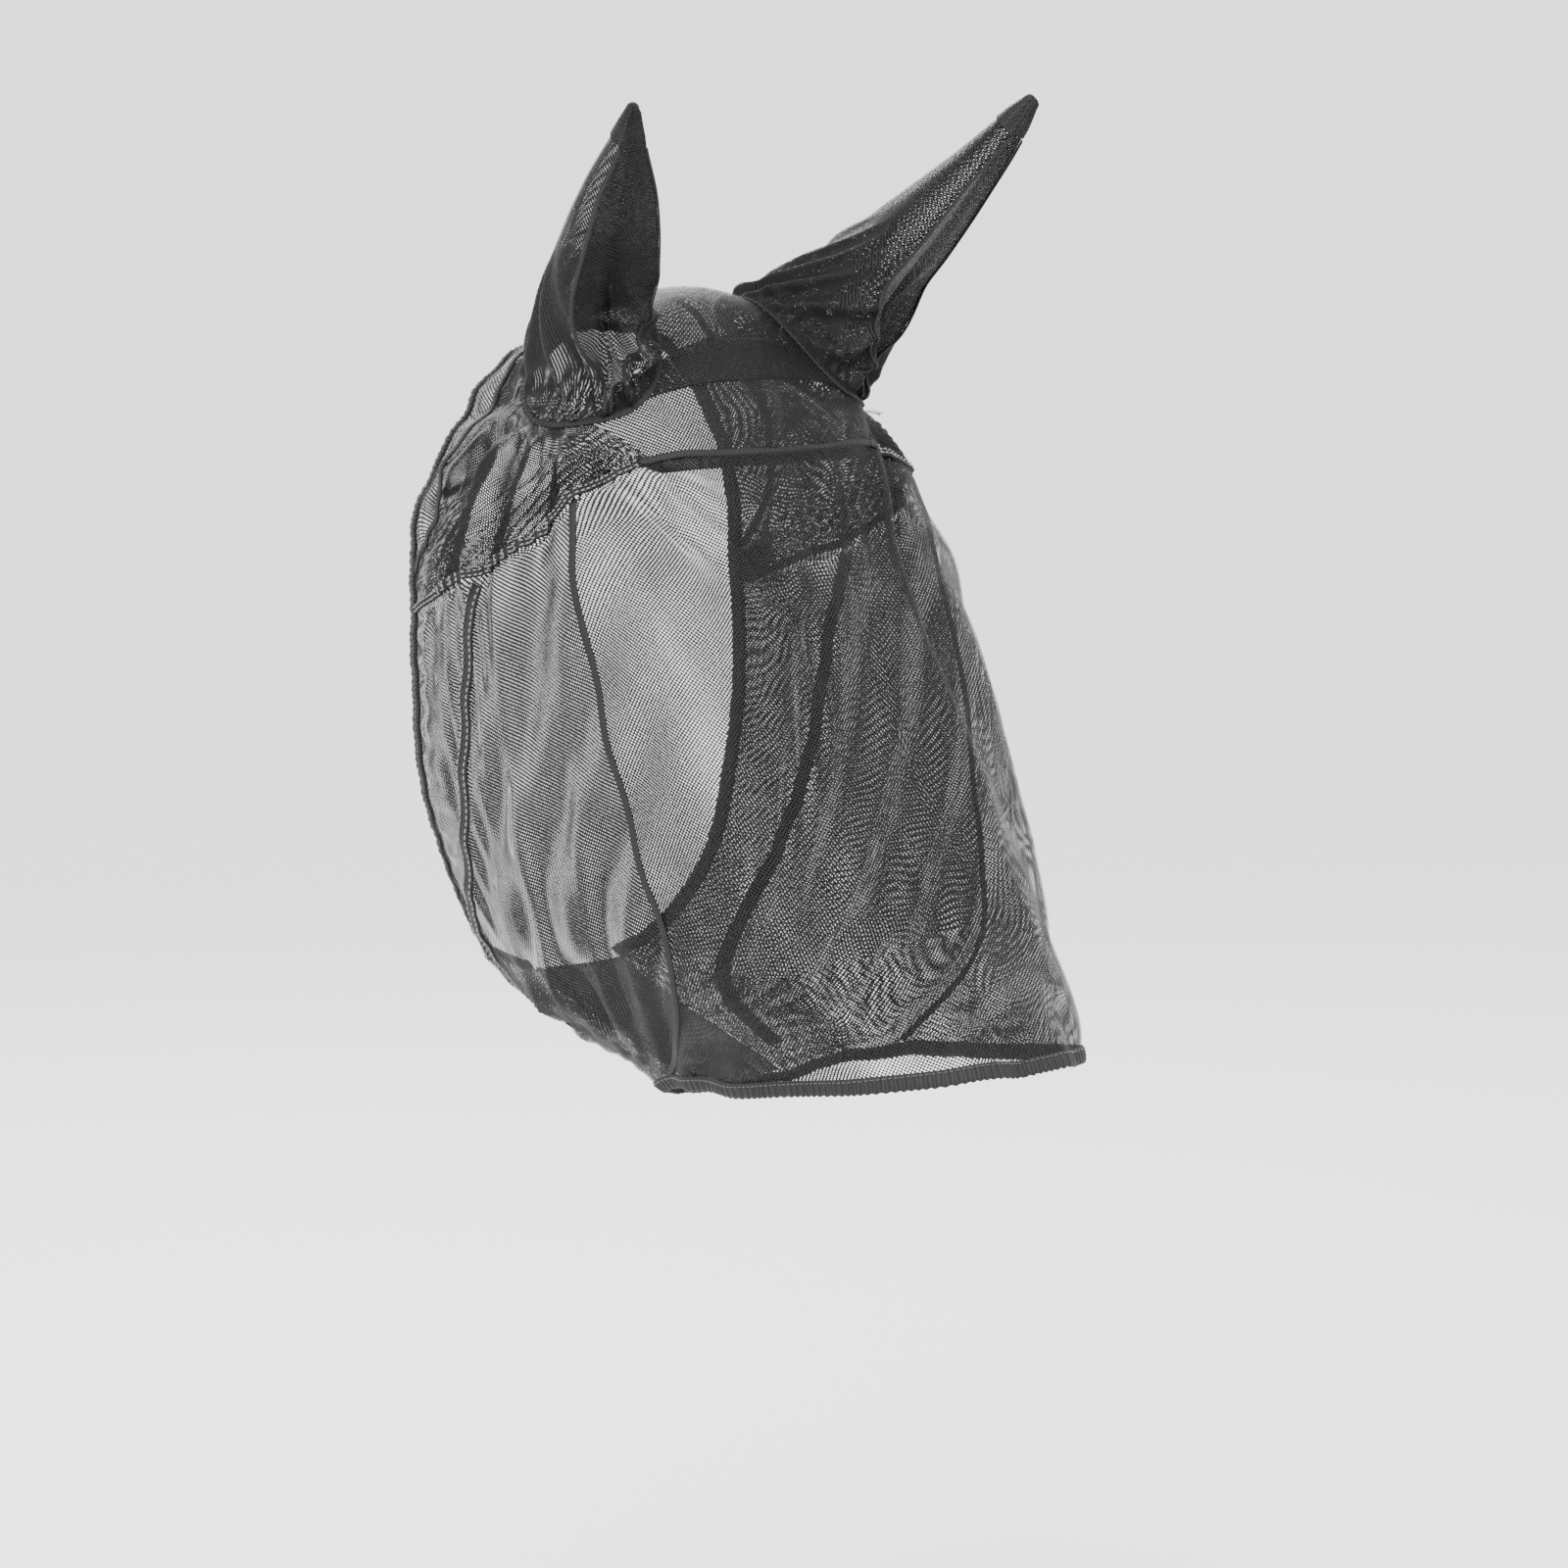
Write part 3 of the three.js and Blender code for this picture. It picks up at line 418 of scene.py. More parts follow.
def quads(rows: int, cols: int, wrap_rows: bool = False, wrap_cols: bool = False) -> tuple[Array, Array]:
    """Faces of a grid, as vertex numbers and as numbers in a UV grid that has its own last row and column.

    Args:
        rows, cols: the grid's shape.
        wrap_rows, wrap_cols: whether the last row or column joins the first.

    Returns:
        (n, 4) vertex numbers and (n, 4) UV numbers.
    """
    i, j = np.meshgrid(
        np.arange(rows if wrap_rows else rows - 1), np.arange(cols if wrap_cols else cols - 1), indexing="ij")
    i, j = i.ravel(), j.ravel()
    corners = [(i, j), (i, j + 1), (i + 1, j + 1), (i + 1, j)]
    wide = cols + (1 if wrap_cols else 0)
    verts = np.stack([(a % rows) * cols + b % cols for a, b in corners], -1)
    uvs = np.stack([a * wide + b for a, b in corners], -1)
    return verts, uvs


def make_object(name: str, points: Array, faces: list, uv: Array | None,
                material: bpy.types.Material) -> bpy.types.Object:
    """A smooth mesh object at the origin, turned to face outwards.

    Args:
        name: the piece's name.
        points: (n, 3) points in metres.
        faces: lists of vertex numbers.
        uv: one UV for each face corner in turn, or None.
        material: its finish.

    Returns:
        The object, linked to the scene.
    """
    mesh = bpy.data.meshes.new(name)
    mesh.from_pydata(points.reshape(-1, 3).tolist(), [], faces)
    if uv is not None:
        layer = mesh.uv_layers.new(name="weave")
        layer.data.foreach_set("uv", np.asarray(uv, np.float32).ravel())
    mesh.polygons.foreach_set("use_smooth", np.ones(len(mesh.polygons), bool))
    mesh.update()
    co = points.reshape(-1, 3)
    mesh.calc_loop_triangles()
    tri = np.zeros(len(mesh.loop_triangles) * 3, int)
    mesh.loop_triangles.foreach_get("vertices", tri)
    a, b, c = (co[tri[k::3]] for k in range(3))
    if np.einsum("ij,ij->", a, np.cross(b, c)) < 0:
        mesh.flip_normals()
    mesh.materials.append(material)
    made = bpy.data.objects.new(f"{name}_look", mesh)
    bpy.context.scene.collection.objects.link(made)
    return made


def cloth(name: str, grid: Array, material: bpy.types.Material, weave: Weave = Weave(), thick: float = 0.0009,
          away: Array | None = None) -> bpy.types.Object:
    """A sheet of cloth of even thickness, closed round its edges.

    The outer face is the grid; the inner face is the grid less the thickness along its normals.

    Args:
        name: the piece's name.
        grid: (rows, cols, 3) points of its outer face.
        material: its finish.
        weave: how the net's grain lies.
        thick: the cloth's thickness.
        away: points that the outer face looks away from; the heart of the head if left out.

    Returns:
        The object.
    """
    rows, cols = grid.shape[:2]
    normals = grid_normals(grid)
    inside = np.array(FORM.heart) if away is None else away
    if np.einsum("ijk,ijk->", normals, grid - inside) < 0:
        normals = -normals
    inner = grid - normals * thick
    verts, _ = quads(rows, cols)
    count = rows * cols
    flat = weave.lay(grid).reshape(-1, 2)
    rims = []
    for k, edge in enumerate((np.arange(cols), (rows - 1) * cols + np.arange(cols), np.arange(rows) * cols,
                              np.arange(rows) * cols + cols - 1)):
        a, b = (edge[:-1], edge[1:]) if k in (0, 3) else (edge[1:], edge[:-1])
        rims.append(np.stack([a, b, b + count, a + count], -1)[:, ::-1])
    faces = np.vstack([verts[:, ::-1], verts + count] + rims)
    points = np.vstack([grid.reshape(-1, 3), inner.reshape(-1, 3)])
    return make_object(name, points, faces.tolist(), flat[faces.ravel() % count], material)


@dataclass
class Run:
    """A path on or off the form with its frames: where a tape, hem or row of stitches goes.

    along is the path's slope, out the given normal made square to it, and across their cross product.
    """

    at: Array
    out: Array
    closed: bool = False
    along: Array = field(init=False)
    across: Array = field(init=False)

    def __post_init__(self) -> None:
        """Works out the frames."""
        p = self.at
        if self.closed:
            slope = np.roll(p, -1, 0) - np.roll(p, 1, 0)
        else:
            slope = np.gradient(p, axis=0)
        self.along = unit(slope)
        self.across = unit(np.cross(self.out, self.along))
        self.out = unit(np.cross(self.along, self.across))

    @staticmethod
    def on_form(line: Line, count: int, start: float = 0.0, end: float = 1.0, closed: bool = False) -> "Run":
        """The run of a guide line cast on the form, at even spacing.

        Args:
            line: the guide.
            count: how many points.
            start, end: the stretch of it.
            closed: whether the line is a loop, whose last point is its first.

        Returns:
            The run.
        """
        dense = FORM.on(line(np.linspace(start, end, max(count, 160) + 1)))
        steps = np.concatenate([[0], np.cumsum(np.linalg.norm(np.diff(dense, axis=0), axis=-1))])
        even = np.linspace(0, steps[-1], count + (1 if closed else 0))
        p = np.stack([np.interp(even, steps, dense[:, k]) for k in range(3)], -1)
        if closed:
            p = p[:-1]
        p = FORM.on(p)
        return Run(p, FORM.normal(p), closed)

    def length(self) -> float:
        """The path's length in metres."""
        p = np.vstack([self.at, self.at[:1]]) if self.closed else self.at
        return float(np.linalg.norm(np.diff(p, axis=0), axis=-1).sum())

    def place(self, a: Array, o: Array) -> Array:
        """Points at distances a across and o out of the path; a and o are (n, m) or (m,)."""
        a = np.broadcast_to(a, (len(self.at),) + np.shape(a)[-1:])
        o = np.broadcast_to(o, (len(self.at),) + np.shape(o)[-1:])
        return self.at[:, None] + a[..., None] * self.across[:, None] + o[..., None] * self.out[:, None]

    def bar(self, name: str, a: Array, o: Array, material: bpy.types.Material) -> bpy.types.Object:
        """A closed bar whose section is the loop of points (a, o), with its UV in metres along and round it.

        Args:
            name: the piece's name.
            a, o: the section, across and out, for the whole path or for each of its points.
            material: its finish.

        Returns:
            The object.
        """
        grid = self.place(a, o)
        rows, cols = grid.shape[:2]
        verts, uvs = quads(rows, cols, wrap_rows=self.closed, wrap_cols=True)
        along = np.concatenate([[0], np.cumsum(np.linalg.norm(np.diff(self.at, axis=0), axis=-1))])
        if self.closed:
            along = np.append(along, self.length())
        loop = np.concatenate([grid[0], grid[0, :1]])
        round_it = np.concatenate([[0], np.cumsum(np.linalg.norm(np.diff(loop, axis=0), axis=-1))])
        flat = np.stack(np.broadcast_arrays(along[:, None], round_it[None, :]), -1).reshape(-1, 2)
        faces, corner = verts.tolist(), [flat[uvs.ravel()]]
        if not self.closed:
            for row, order in ((0, slice(None, None, -1)), (rows - 1, slice(None))):
                faces.append((row * cols + np.arange(cols))[order].tolist())
                corner.append(np.stack([np.full(cols, along[row]), round_it[:-1]], -1)[order])
        return make_object(name, grid.reshape(-1, 3), faces, np.vstack(corner), material)


@dataclass(frozen=True)
class Stitches:
    """A row of machine stitches: small rounded rods that dip into the cloth at both ends."""

    pitch: float = 0.0032
    share: float = 0.68
    thick: float = 0.00042
    lift: float = 0.0001

    def sew(self, name: str, run: Run, across: float, out: float,
            material: bpy.types.Material) -> bpy.types.Object:
        """Sews along a run.

        Each rod is a six-sided tube whose radius is a half circle of its length and whose middle bows out.

        Args:
            name: the piece's name.
            run: the path.
            across: how far to the side of it.
            out: how far above it the thread's middle lies at its ends.
            material: the thread.

        Returns:
            The object.
        """
        steps = np.concatenate([[0], np.cumsum(np.linalg.norm(np.diff(run.at, axis=0), axis=-1))])
        at = np.arange(self.pitch / 2, steps[-1], self.pitch)

        def read(v: Array) -> Array:
            return np.stack([np.interp(at, steps, v[:, k]) for k in range(3)], -1)

        along, side, up = unit(read(run.along)), unit(read(run.across)), unit(read(run.out))
        middle = read(run.at) + side * across + up * out
        t = np.array([-1.0, -0.72, 0.0, 0.72, 1.0])
        radius = self.thick * np.array([0.25, 0.8, 1.0, 0.8, 0.25])
        rise = (self.lift + self.thick * 0.9) * (1 - t**2)
        turn = np.arange(6) * TURN / 6
        half = self.pitch * self.share / 2
        length = (t * half)[:, None] + 0 * turn
        wide = radius[:, None] * np.cos(turn)
        high = radius[:, None] * np.sin(turn) + rise[:, None]
        rods = (middle[:, None, None]
                + length[None, ..., None] * along[:, None, None]
                + wide[None, ..., None] * side[:, None, None]
                + high[None, ..., None] * up[:, None, None])
        verts, _ = quads(5, 6, wrap_cols=True)
        caps = [list(range(5, -1, -1)), list(range(24, 30))]
        faces = []
        for k in range(len(at)):
            faces += (verts[:, ::-1] + 30 * k).tolist()
            faces += [[v + 30 * k for v in cap[::-1]] for cap in caps]
        return make_object(name, rods.reshape(-1, 3), faces, None, material)


# ---------------------------------------------------------------- finishes


class Graph:
    """A material's node tree, with short ways to add nodes."""

    def __init__(self, name: str) -> None:
        """Starts an empty material with its output."""
        self.material = bpy.data.materials.new(name)
        self.material.use_nodes = True
        self.nodes = self.material.node_tree.nodes
        self.links = self.material.node_tree.links
        self.nodes.clear()
        self.output = self.nodes.new("ShaderNodeOutputMaterial")

    def add(self, kind: str, inputs: dict | None = None, **settings: object) -> bpy.types.Node:
        """Adds a node; inputs holds numbers to set or sockets to link, by name or number."""
        node = self.nodes.new(kind)
        for key, value in settings.items():
            setattr(node, key, value)
        for key, value in (inputs or {}).items():
            if isinstance(value, bpy.types.NodeSocket):
                self.links.new(value, node.inputs[key])
            else:
                node.inputs[key].default_value = value
        return node

    def maths(self, operation: str, *values: object) -> bpy.types.NodeSocket:
        """A Math node's result."""
        return self.add("ShaderNodeMath", dict(enumerate(values)), operation=operation).outputs[0]

    def between(self, value: bpy.types.NodeSocket, low: float, high: float, start: float = 0.0,
                end: float = 1.0) -> bpy.types.NodeSocket:
        """A smooth step from start, at low, to end, at high."""
        node = self.add("ShaderNodeMapRange", {0: value, 1: low, 2: high, 3: start, 4: end})
        node.interpolation_type = "SMOOTHSTEP"
        return node.outputs[0]

    def noise(self, vector: bpy.types.NodeSocket, scale: float, detail: float = 2.0) -> bpy.types.NodeSocket:
        """A Noise Texture's value."""
        node = self.add("ShaderNodeTexNoise", {"Vector": vector, "Scale": scale, "Detail": detail})
        return node.outputs["Fac"]

    def tint(self, share: bpy.types.NodeSocket, dark: tuple, light: tuple) -> bpy.types.NodeSocket:
        """A colour between two, by a share from 0 to 1."""
        node = self.add("ShaderNodeMix", {0: share}, data_type="RGBA")
        node.inputs[6].default_value = (*dark, 1)
        node.inputs[7].default_value = (*light, 1)
        return node.outputs[2]

    def relief(self, height: bpy.types.NodeSocket, distance: float,
               strength: float = 1.0) -> bpy.types.NodeSocket:
        """A Bump node's normal, for a height from 0 to 1 times a distance in metres."""
        node = self.add("ShaderNodeBump", {"Height": height, "Distance": distance, "Strength": strength})
        return node.outputs[0]

    def cloth_coords(self) -> tuple[bpy.types.NodeSocket, bpy.types.NodeSocket, bpy.types.NodeSocket]:
        """The piece's own UV in metres, along and across, and its Object coordinates."""
        uv = self.add("ShaderNodeUVMap", uv_map="weave").outputs[0]
        parts = self.add("ShaderNodeSeparateXYZ", {0: uv})
        place = self.add("ShaderNodeTexCoord").outputs["Object"]
        return parts.outputs[0], parts.outputs[1], place

    def finish(self, colour: object, normal: object | None, **sockets: object) -> bpy.types.Material:
        """Ends the material in one Principled shader."""
        shader = self.add("ShaderNodeBsdfPrincipled", {k.replace("_", " "): v for k, v in sockets.items()})
        if isinstance(colour, bpy.types.NodeSocket):
            self.links.new(colour, shader.inputs["Base Color"])
        else:
            shader.inputs["Base Color"].default_value = (*colour, 1)
        if normal is not None:
            self.links.new(normal, shader.inputs["Normal"])
        self.links.new(shader.outputs[0], self.output.inputs[0])
        return self.material


@dataclass(frozen=True)
class Net:
    """Warp-knitted net: staggered round holes in two lattices, between threads whose soft sheen is painted:
    lighter on their tops and darker in the loops round the holes.

    Attributes:
        pitch: from hole to hole along a row, in metres.
        hole: the holes' radius as a share of the pitch.
        dark, light: the thread's colours: painted shade in the loops round the holes, and painted highlight
            on their tops.
        threads: how opaque the holes are, from 0 for open to 1 for closed.
        gathered_at: a place on the left, with its mirror on the right, round which the net is gathered.
    """

    name: str
    pitch: float = 0.00225
    hole: float = 0.258
    dark: tuple[float, float, float] = (0.0015, 0.0015, 0.0015)
    light: tuple[float, float, float] = (0.013, 0.0125, 0.0125)
    threads: float = 0.0
    gathered_at: tuple[float, float, float] | None = None

    def radius(self, g: Graph, place: bpy.types.NodeSocket) -> object:
        """The holes' radius: two thirds of its value near the gathered place, rising to all of it."""
        if self.gathered_at is None:
            return self.hole
        axes = g.add("ShaderNodeSeparateXYZ", {0: place}).outputs
        away = [g.maths("SUBTRACT", g.maths("ABSOLUTE", axes[0]), self.gathered_at[0])]
        away += [g.maths("SUBTRACT", axes[k], self.gathered_at[k]) for k in (1, 2)]
        squares = [g.maths("POWER", d, 2.0) for d in away]
        far = g.maths("SQRT", g.maths("ADD", g.maths("ADD", squares[0], squares[1]), squares[2]))
        return g.between(far, 0.045, 0.105, self.hole * 0.66, self.hole)

    def make(self) -> bpy.types.Material:
        """Builds the material: the nearer lattice's hole middle gives the distance that opens a hole."""
        g = Graph(self.name)
        u, v, place = g.cloth_coords()
        x, y = g.maths("DIVIDE", u, self.pitch), g.maths("DIVIDE", v, self.pitch * 0.96)
        sway = g.maths("MULTIPLY", g.maths("SUBTRACT", g.noise(place, 900.0, 1.0), 0.5), 0.16)

        def lattice(shift: float) -> bpy.types.NodeSocket:
            squares = [
                g.maths("POWER", g.maths("SUBTRACT", g.maths("FRACT", g.maths("ADD", c, shift)), 0.5), 2.0)
                for c in (x, y)]
            return g.maths("SQRT", g.maths("ADD", *squares))

        far = g.maths("ADD", g.maths("MINIMUM", lattice(0.0), lattice(0.5)), sway)
        past = g.maths("SUBTRACT", far, self.radius(g, place))
        solid = g.between(past, -0.035, 0.035, self.threads, 1.0)
        # top is the thread's crest away from the holes; it gives the bump and the painted highlight on the
        # thread tops
        top = g.between(past, 0.0, 0.5 - self.hole)
        patch = g.noise(place, 28.0, 3.0)
        # painted highlight on the thread tops and painted shade by the holes, mixed with random tone patches
        crest_light_and_tone = g.maths("ADD", g.maths("MULTIPLY", top, 0.6), g.maths("MULTIPLY", patch, 0.4))
        colour = g.tint(crest_light_and_tone, self.dark, self.light)
        return g.finish(colour, g.relief(top, 0.0003, 0.8), Alpha=solid, Roughness=0.5,
                        Specular_IOR_Level=0.16)


@dataclass(frozen=True)
class Ribbed:
    """Closely ribbed cloth or elastic: ribs across its length, each crossed by fine yarn.

    Attributes:
        rib: from rib to rib, in metres.
        yarn: from yarn to yarn across them.
        slant: how far the ribs lean, as a share of the width.
        depth: how deep they are.
    """

    name: str
    rib: float = 0.0014
    yarn: float = 0.0007
    slant: float = 0.0
    depth: float = 0.0003
    dark: tuple[float, float, float] = (0.002, 0.002, 0.002)
    light: tuple[float, float, float] = (0.013, 0.0125, 0.0125)
    roughness: float = 0.6

    def make(self) -> bpy.types.Material:
        """Builds the material: the ribs are a sine of the length, and the yarn a finer sine of the width; the
        colour follows that height, with painted shade in the grooves and painted highlight on the crests.
        """
        g = Graph(self.name)
        u, v, place = g.cloth_coords()
        lean = g.maths("ADD", u, g.maths("MULTIPLY", v, self.slant))
        wobble = g.maths("MULTIPLY", g.noise(place, 120.0, 2.0), self.rib * 0.8)
        rib = g.maths("SINE", g.maths("MULTIPLY", g.maths("ADD", lean, wobble), TURN / self.rib))
        yarn = g.maths("SINE", g.maths("MULTIPLY", v, TURN / self.yarn))
        height = g.maths("ADD", g.maths("MULTIPLY", rib, 0.35), g.maths("MULTIPLY", yarn, 0.15))
        height = g.maths("ADD", height, 0.5)
        patch = g.maths("MULTIPLY", g.noise(place, 35.0, 3.0), 0.3)
        # painted shade in the grooves and painted highlight on the rib crests, plus random tone patches
        crest_light_and_tone = g.maths("ADD", g.maths("MULTIPLY", height, 0.7), patch)
        return g.finish(g.tint(crest_light_and_tone, self.dark, self.light), g.relief(height, self.depth),
                        Roughness=self.roughness, Specular_IOR_Level=0.18)


@dataclass(frozen=True)
class Pile:
    """The hook or loop face of a touch fastener: a dense random pile."""

    name: str
    grain: float = 900.0
    dark: tuple[float, float, float] = (0.006, 0.006, 0.006)
    light: tuple[float, float, float] = (0.045, 0.044, 0.045)

    def make(self) -> bpy.types.Material:
        """Builds the material: fine noise over small cells gives both the height and the colour, with painted
        shade down in the pile and painted highlight on its tips.
        """
        g = Graph(self.name)
        place = g.add("ShaderNodeTexCoord").outputs["Object"]
        cells = g.add("ShaderNodeTexVoronoi", {"Vector": place, "Scale": self.grain}).outputs["Distance"]
        fuzz = g.maths("MULTIPLY", g.noise(place, 2200.0), 0.4)
        height = g.maths("ADD", g.maths("MULTIPLY", cells, 0.7), fuzz)
        # painted shade low in the pile and painted highlight on its tips: the colour follows the height
        return g.finish(g.tint(height, self.dark, self.light), g.relief(height, 0.0006),
                        Roughness=0.85, Sheen_Weight=0.5)


@dataclass(frozen=True)
class Yarn:
    """Sewing thread: plied, slightly glossy."""

    name: str
    dark: tuple[float, float, float]
    light: tuple[float, float, float]

    def make(self) -> bpy.types.Material:
        """Builds the material: a fine noise stands for the ply, in the bump and in the colour, with painted
        highlight where the ply stands higher and painted shade where it sinks.
        """
        g = Graph(self.name)
        place = g.add("ShaderNodeTexCoord").outputs["Object"]
        ply = g.noise(place, 1800.0, 2.0)
        # painted highlight on the raised ply and painted shade between its strands: the colour follows the
        # bump
        return g.finish(g.tint(ply, self.dark, self.light), g.relief(ply, 0.0002), Roughness=0.45,
                        Sheen_Weight=0.2)


@dataclass(frozen=True)
class Satin:
    """The woven label: fine weft ribs with a plain darker band near each end."""

    name: str = "label_satin"

    def make(self) -> bpy.types.Material:
        """Builds the material: ribs are a sine of the length, painted a little lighter on their crests, and
        darker woven bands begin away from the middle.
        """
        g = Graph(self.name)
        u, v, _ = g.cloth_coords()
        rib = g.maths("SINE", g.maths("MULTIPLY", u, TURN / 0.0004))
        band = g.between(g.maths("ABSOLUTE", v), 0.0026, 0.0028)
        ground = g.maths("SUBTRACT", 0.85, g.maths("MULTIPLY", band, 0.35))
        # painted highlight on the rib crests and painted shade between them; the darker end bands are woven
        crest_light_and_tone = g.maths("ADD", g.maths("MULTIPLY", rib, 0.08), ground)
        return g.finish(g.tint(crest_light_and_tone, (0.2, 0.19, 0.19), (0.78, 0.76, 0.74)), g.relief(rib, 0.00008),
                        Roughness=0.4, Sheen_Weight=0.3)


@dataclass(frozen=True)
class Studio:
    """Pale floor and soft lights, and a camera a little above the mask's middle."""

    azimuth: float = -40.0
    elevation: float = 8.0
    distance: float = 3.0
    aim: tuple[float, float, float] = (0.0, -0.06, -0.19)
    shift_right: float = 0.0065
    shift_down: float = 0.060
    floor_z: float = -0.95
    floor_half: float = 400.0

    def camera(self) -> None:
        """Aims the camera: it looks along the view direction, moved sideways in the picture's plane."""
        a, e = math.radians(self.azimuth), math.radians(self.elevation)
        back = Vector((math.sin(a) * math.cos(e), -math.cos(a) * math.cos(e), math.sin(e)))
        right = Vector((math.cos(a), math.sin(a), 0))
        up = back.cross(right)
        data = bpy.data.cameras.new("camera")
        data.lens = 135.0
        data.sensor_width = 36.0
        data.clip_end = 1200.0
        camera = bpy.data.objects.new("camera", data)
        shift = right * self.shift_right - up * self.shift_down
        camera.location = Vector(self.aim) + back * self.distance + shift
        camera.rotation_euler = back.to_track_quat("Z", "Y").to_euler()
        bpy.context.scene.collection.objects.link(camera)
        bpy.context.scene.camera = camera

    def floor(self) -> None:
        """Lays a plain pale floor that fills the view."""
        h = self.floor_half
        corners = [(x, y, self.floor_z) for x, y in ((-h, -h), (h, -h), (h, h), (-h, h))]
        g = Graph("pale_floor")
        material = g.finish((0.82, 0.82, 0.82), None, Roughness=0.9)
        mesh = bpy.data.meshes.new("floor")
        mesh.from_pydata(corners, [], [[0, 1, 2, 3]])
        mesh.materials.append(material)
        made = bpy.data.objects.new("floor", mesh)
        bpy.context.scene.collection.objects.link(made)

    def light(self) -> None:
        """A bright even sky, a large soft key from the front and above, and a weaker fill."""
        world = bpy.data.worlds.new("soft_sky")
        bpy.context.scene.world = world
        world.use_nodes = True
        sky = world.node_tree.nodes["Background"]
        sky.inputs[0].default_value = (0.92, 0.93, 0.95, 1)
        sky.inputs[1].default_value = 2.6
        for name, place, size, power in (
            ("key", (-1.9, -1.5, 1.9), 1.1, 210.0),
            ("fill", (2.2, -1.6, 0.8), 2.2, 20.0),
            ("back", (1.2, 2.2, 1.4), 1.4, 90.0),
        ):
            data = bpy.data.lights.new(name, "AREA")
            data.size = size
            data.energy = power
            lamp = bpy.data.objects.new(name, data)
            lamp.location = place
            lamp.rotation_euler = (Vector(place) - Vector(self.aim)).to_track_quat("Z", "Y").to_euler()
            bpy.context.scene.collection.objects.link(lamp)

    def build(self) -> None:
        """Sets up the camera, floor and lights."""
        self.camera()
        self.floor()
        self.light()


# ---------------------------------------------------------------- the mask's parts


def coons(top: Line, bottom: Line, left: Line, right: Line, rows: int, cols: int) -> Array:
    """A patch between four guides: the two pairs' straight blends added, less the blend of the corners.

    Args:
        top, bottom: guides that run with u.
        left, right: guides that run with v.
        rows, cols: how many cells.

    Returns:
        The guide points, a (rows + 1, cols + 1, 3) grid.
    """
    u, v = np.meshgrid(np.linspace(0, 1, cols + 1), np.linspace(0, 1, rows + 1))
    t, b, l, r = top(u[0])[None], bottom(u[0])[None], left(v[:, 0])[:, None], right(v[:, 0])[:, None]
    uc, vc = u[..., None], v[..., None]
    corners = (t[:, :1] * (1 - uc) + t[:, -1:] * uc) * (1 - vc) + (b[:, :1] * (1 - uc) + b[:, -1:] * uc) * vc
    return t * (1 - vc) + b * vc + l * (1 - uc) + r * uc - corners


@dataclass
class Wardrobe:
    """The finishes, made once and shared by the pieces."""

    net: bpy.types.Material = field(init=False)
    double_net: bpy.types.Material = field(init=False)
    hollow_net: bpy.types.Material = field(init=False)
    open_net: bpy.types.Material = field(init=False)
    gathered_net: bpy.types.Material = field(init=False)
    ear_net: bpy.types.Material = field(init=False)
    tape: bpy.types.Material = field(init=False)
    hem: bpy.types.Material = field(init=False)
    elastic: bpy.types.Material = field(init=False)
    hook: bpy.types.Material = field(init=False)
    loop: bpy.types.Material = field(init=False)
    pale_thread: bpy.types.Material = field(init=False)
    dark_thread: bpy.types.Material = field(init=False)
    label: bpy.types.Material = field(init=False)

    def __post_init__(self) -> None:
        """Makes every material."""
        self.net = Net("stretch_net").make()
        self.double_net = Net("doubled_net", threads=0.72).make()
        self.open_net = Net("open_net", hole=0.285).make()
        self.gathered_net = Net("gathered_net", hole=0.2).make()
        self.ear_net = Net("ear_net", gathered_at=tuple(ear_of(Side.LEFT).base)).make()
        self.hollow_net = Net("hollow_net", threads=0.5, light=(0.011, 0.0108, 0.0108)).make()
        self.tape = Ribbed("seam_tape", rib=0.0016, yarn=0.0008, slant=0.5).make()
        self.hem = Ribbed("hem_net", rib=0.0021, yarn=0.0011, depth=0.0004,
                          dark=(0.002, 0.002, 0.002), light=(0.02, 0.0195, 0.0195)).make()
        self.elastic = Ribbed("flat_elastic", rib=0.0011, yarn=0.0009, roughness=0.55).make()
        self.hook = Pile("hook_pile", grain=700.0).make()
        self.loop = Pile("loop_pile", grain=1300.0, light=(0.06, 0.058, 0.06)).make()
        self.pale_thread = Yarn("pale_thread", (0.09, 0.088, 0.085), (0.2, 0.195, 0.19)).make()
        self.dark_thread = Yarn("dark_thread", (0.008, 0.008, 0.008), (0.035, 0.034, 0.034)).make()
        self.label = Satin().make()


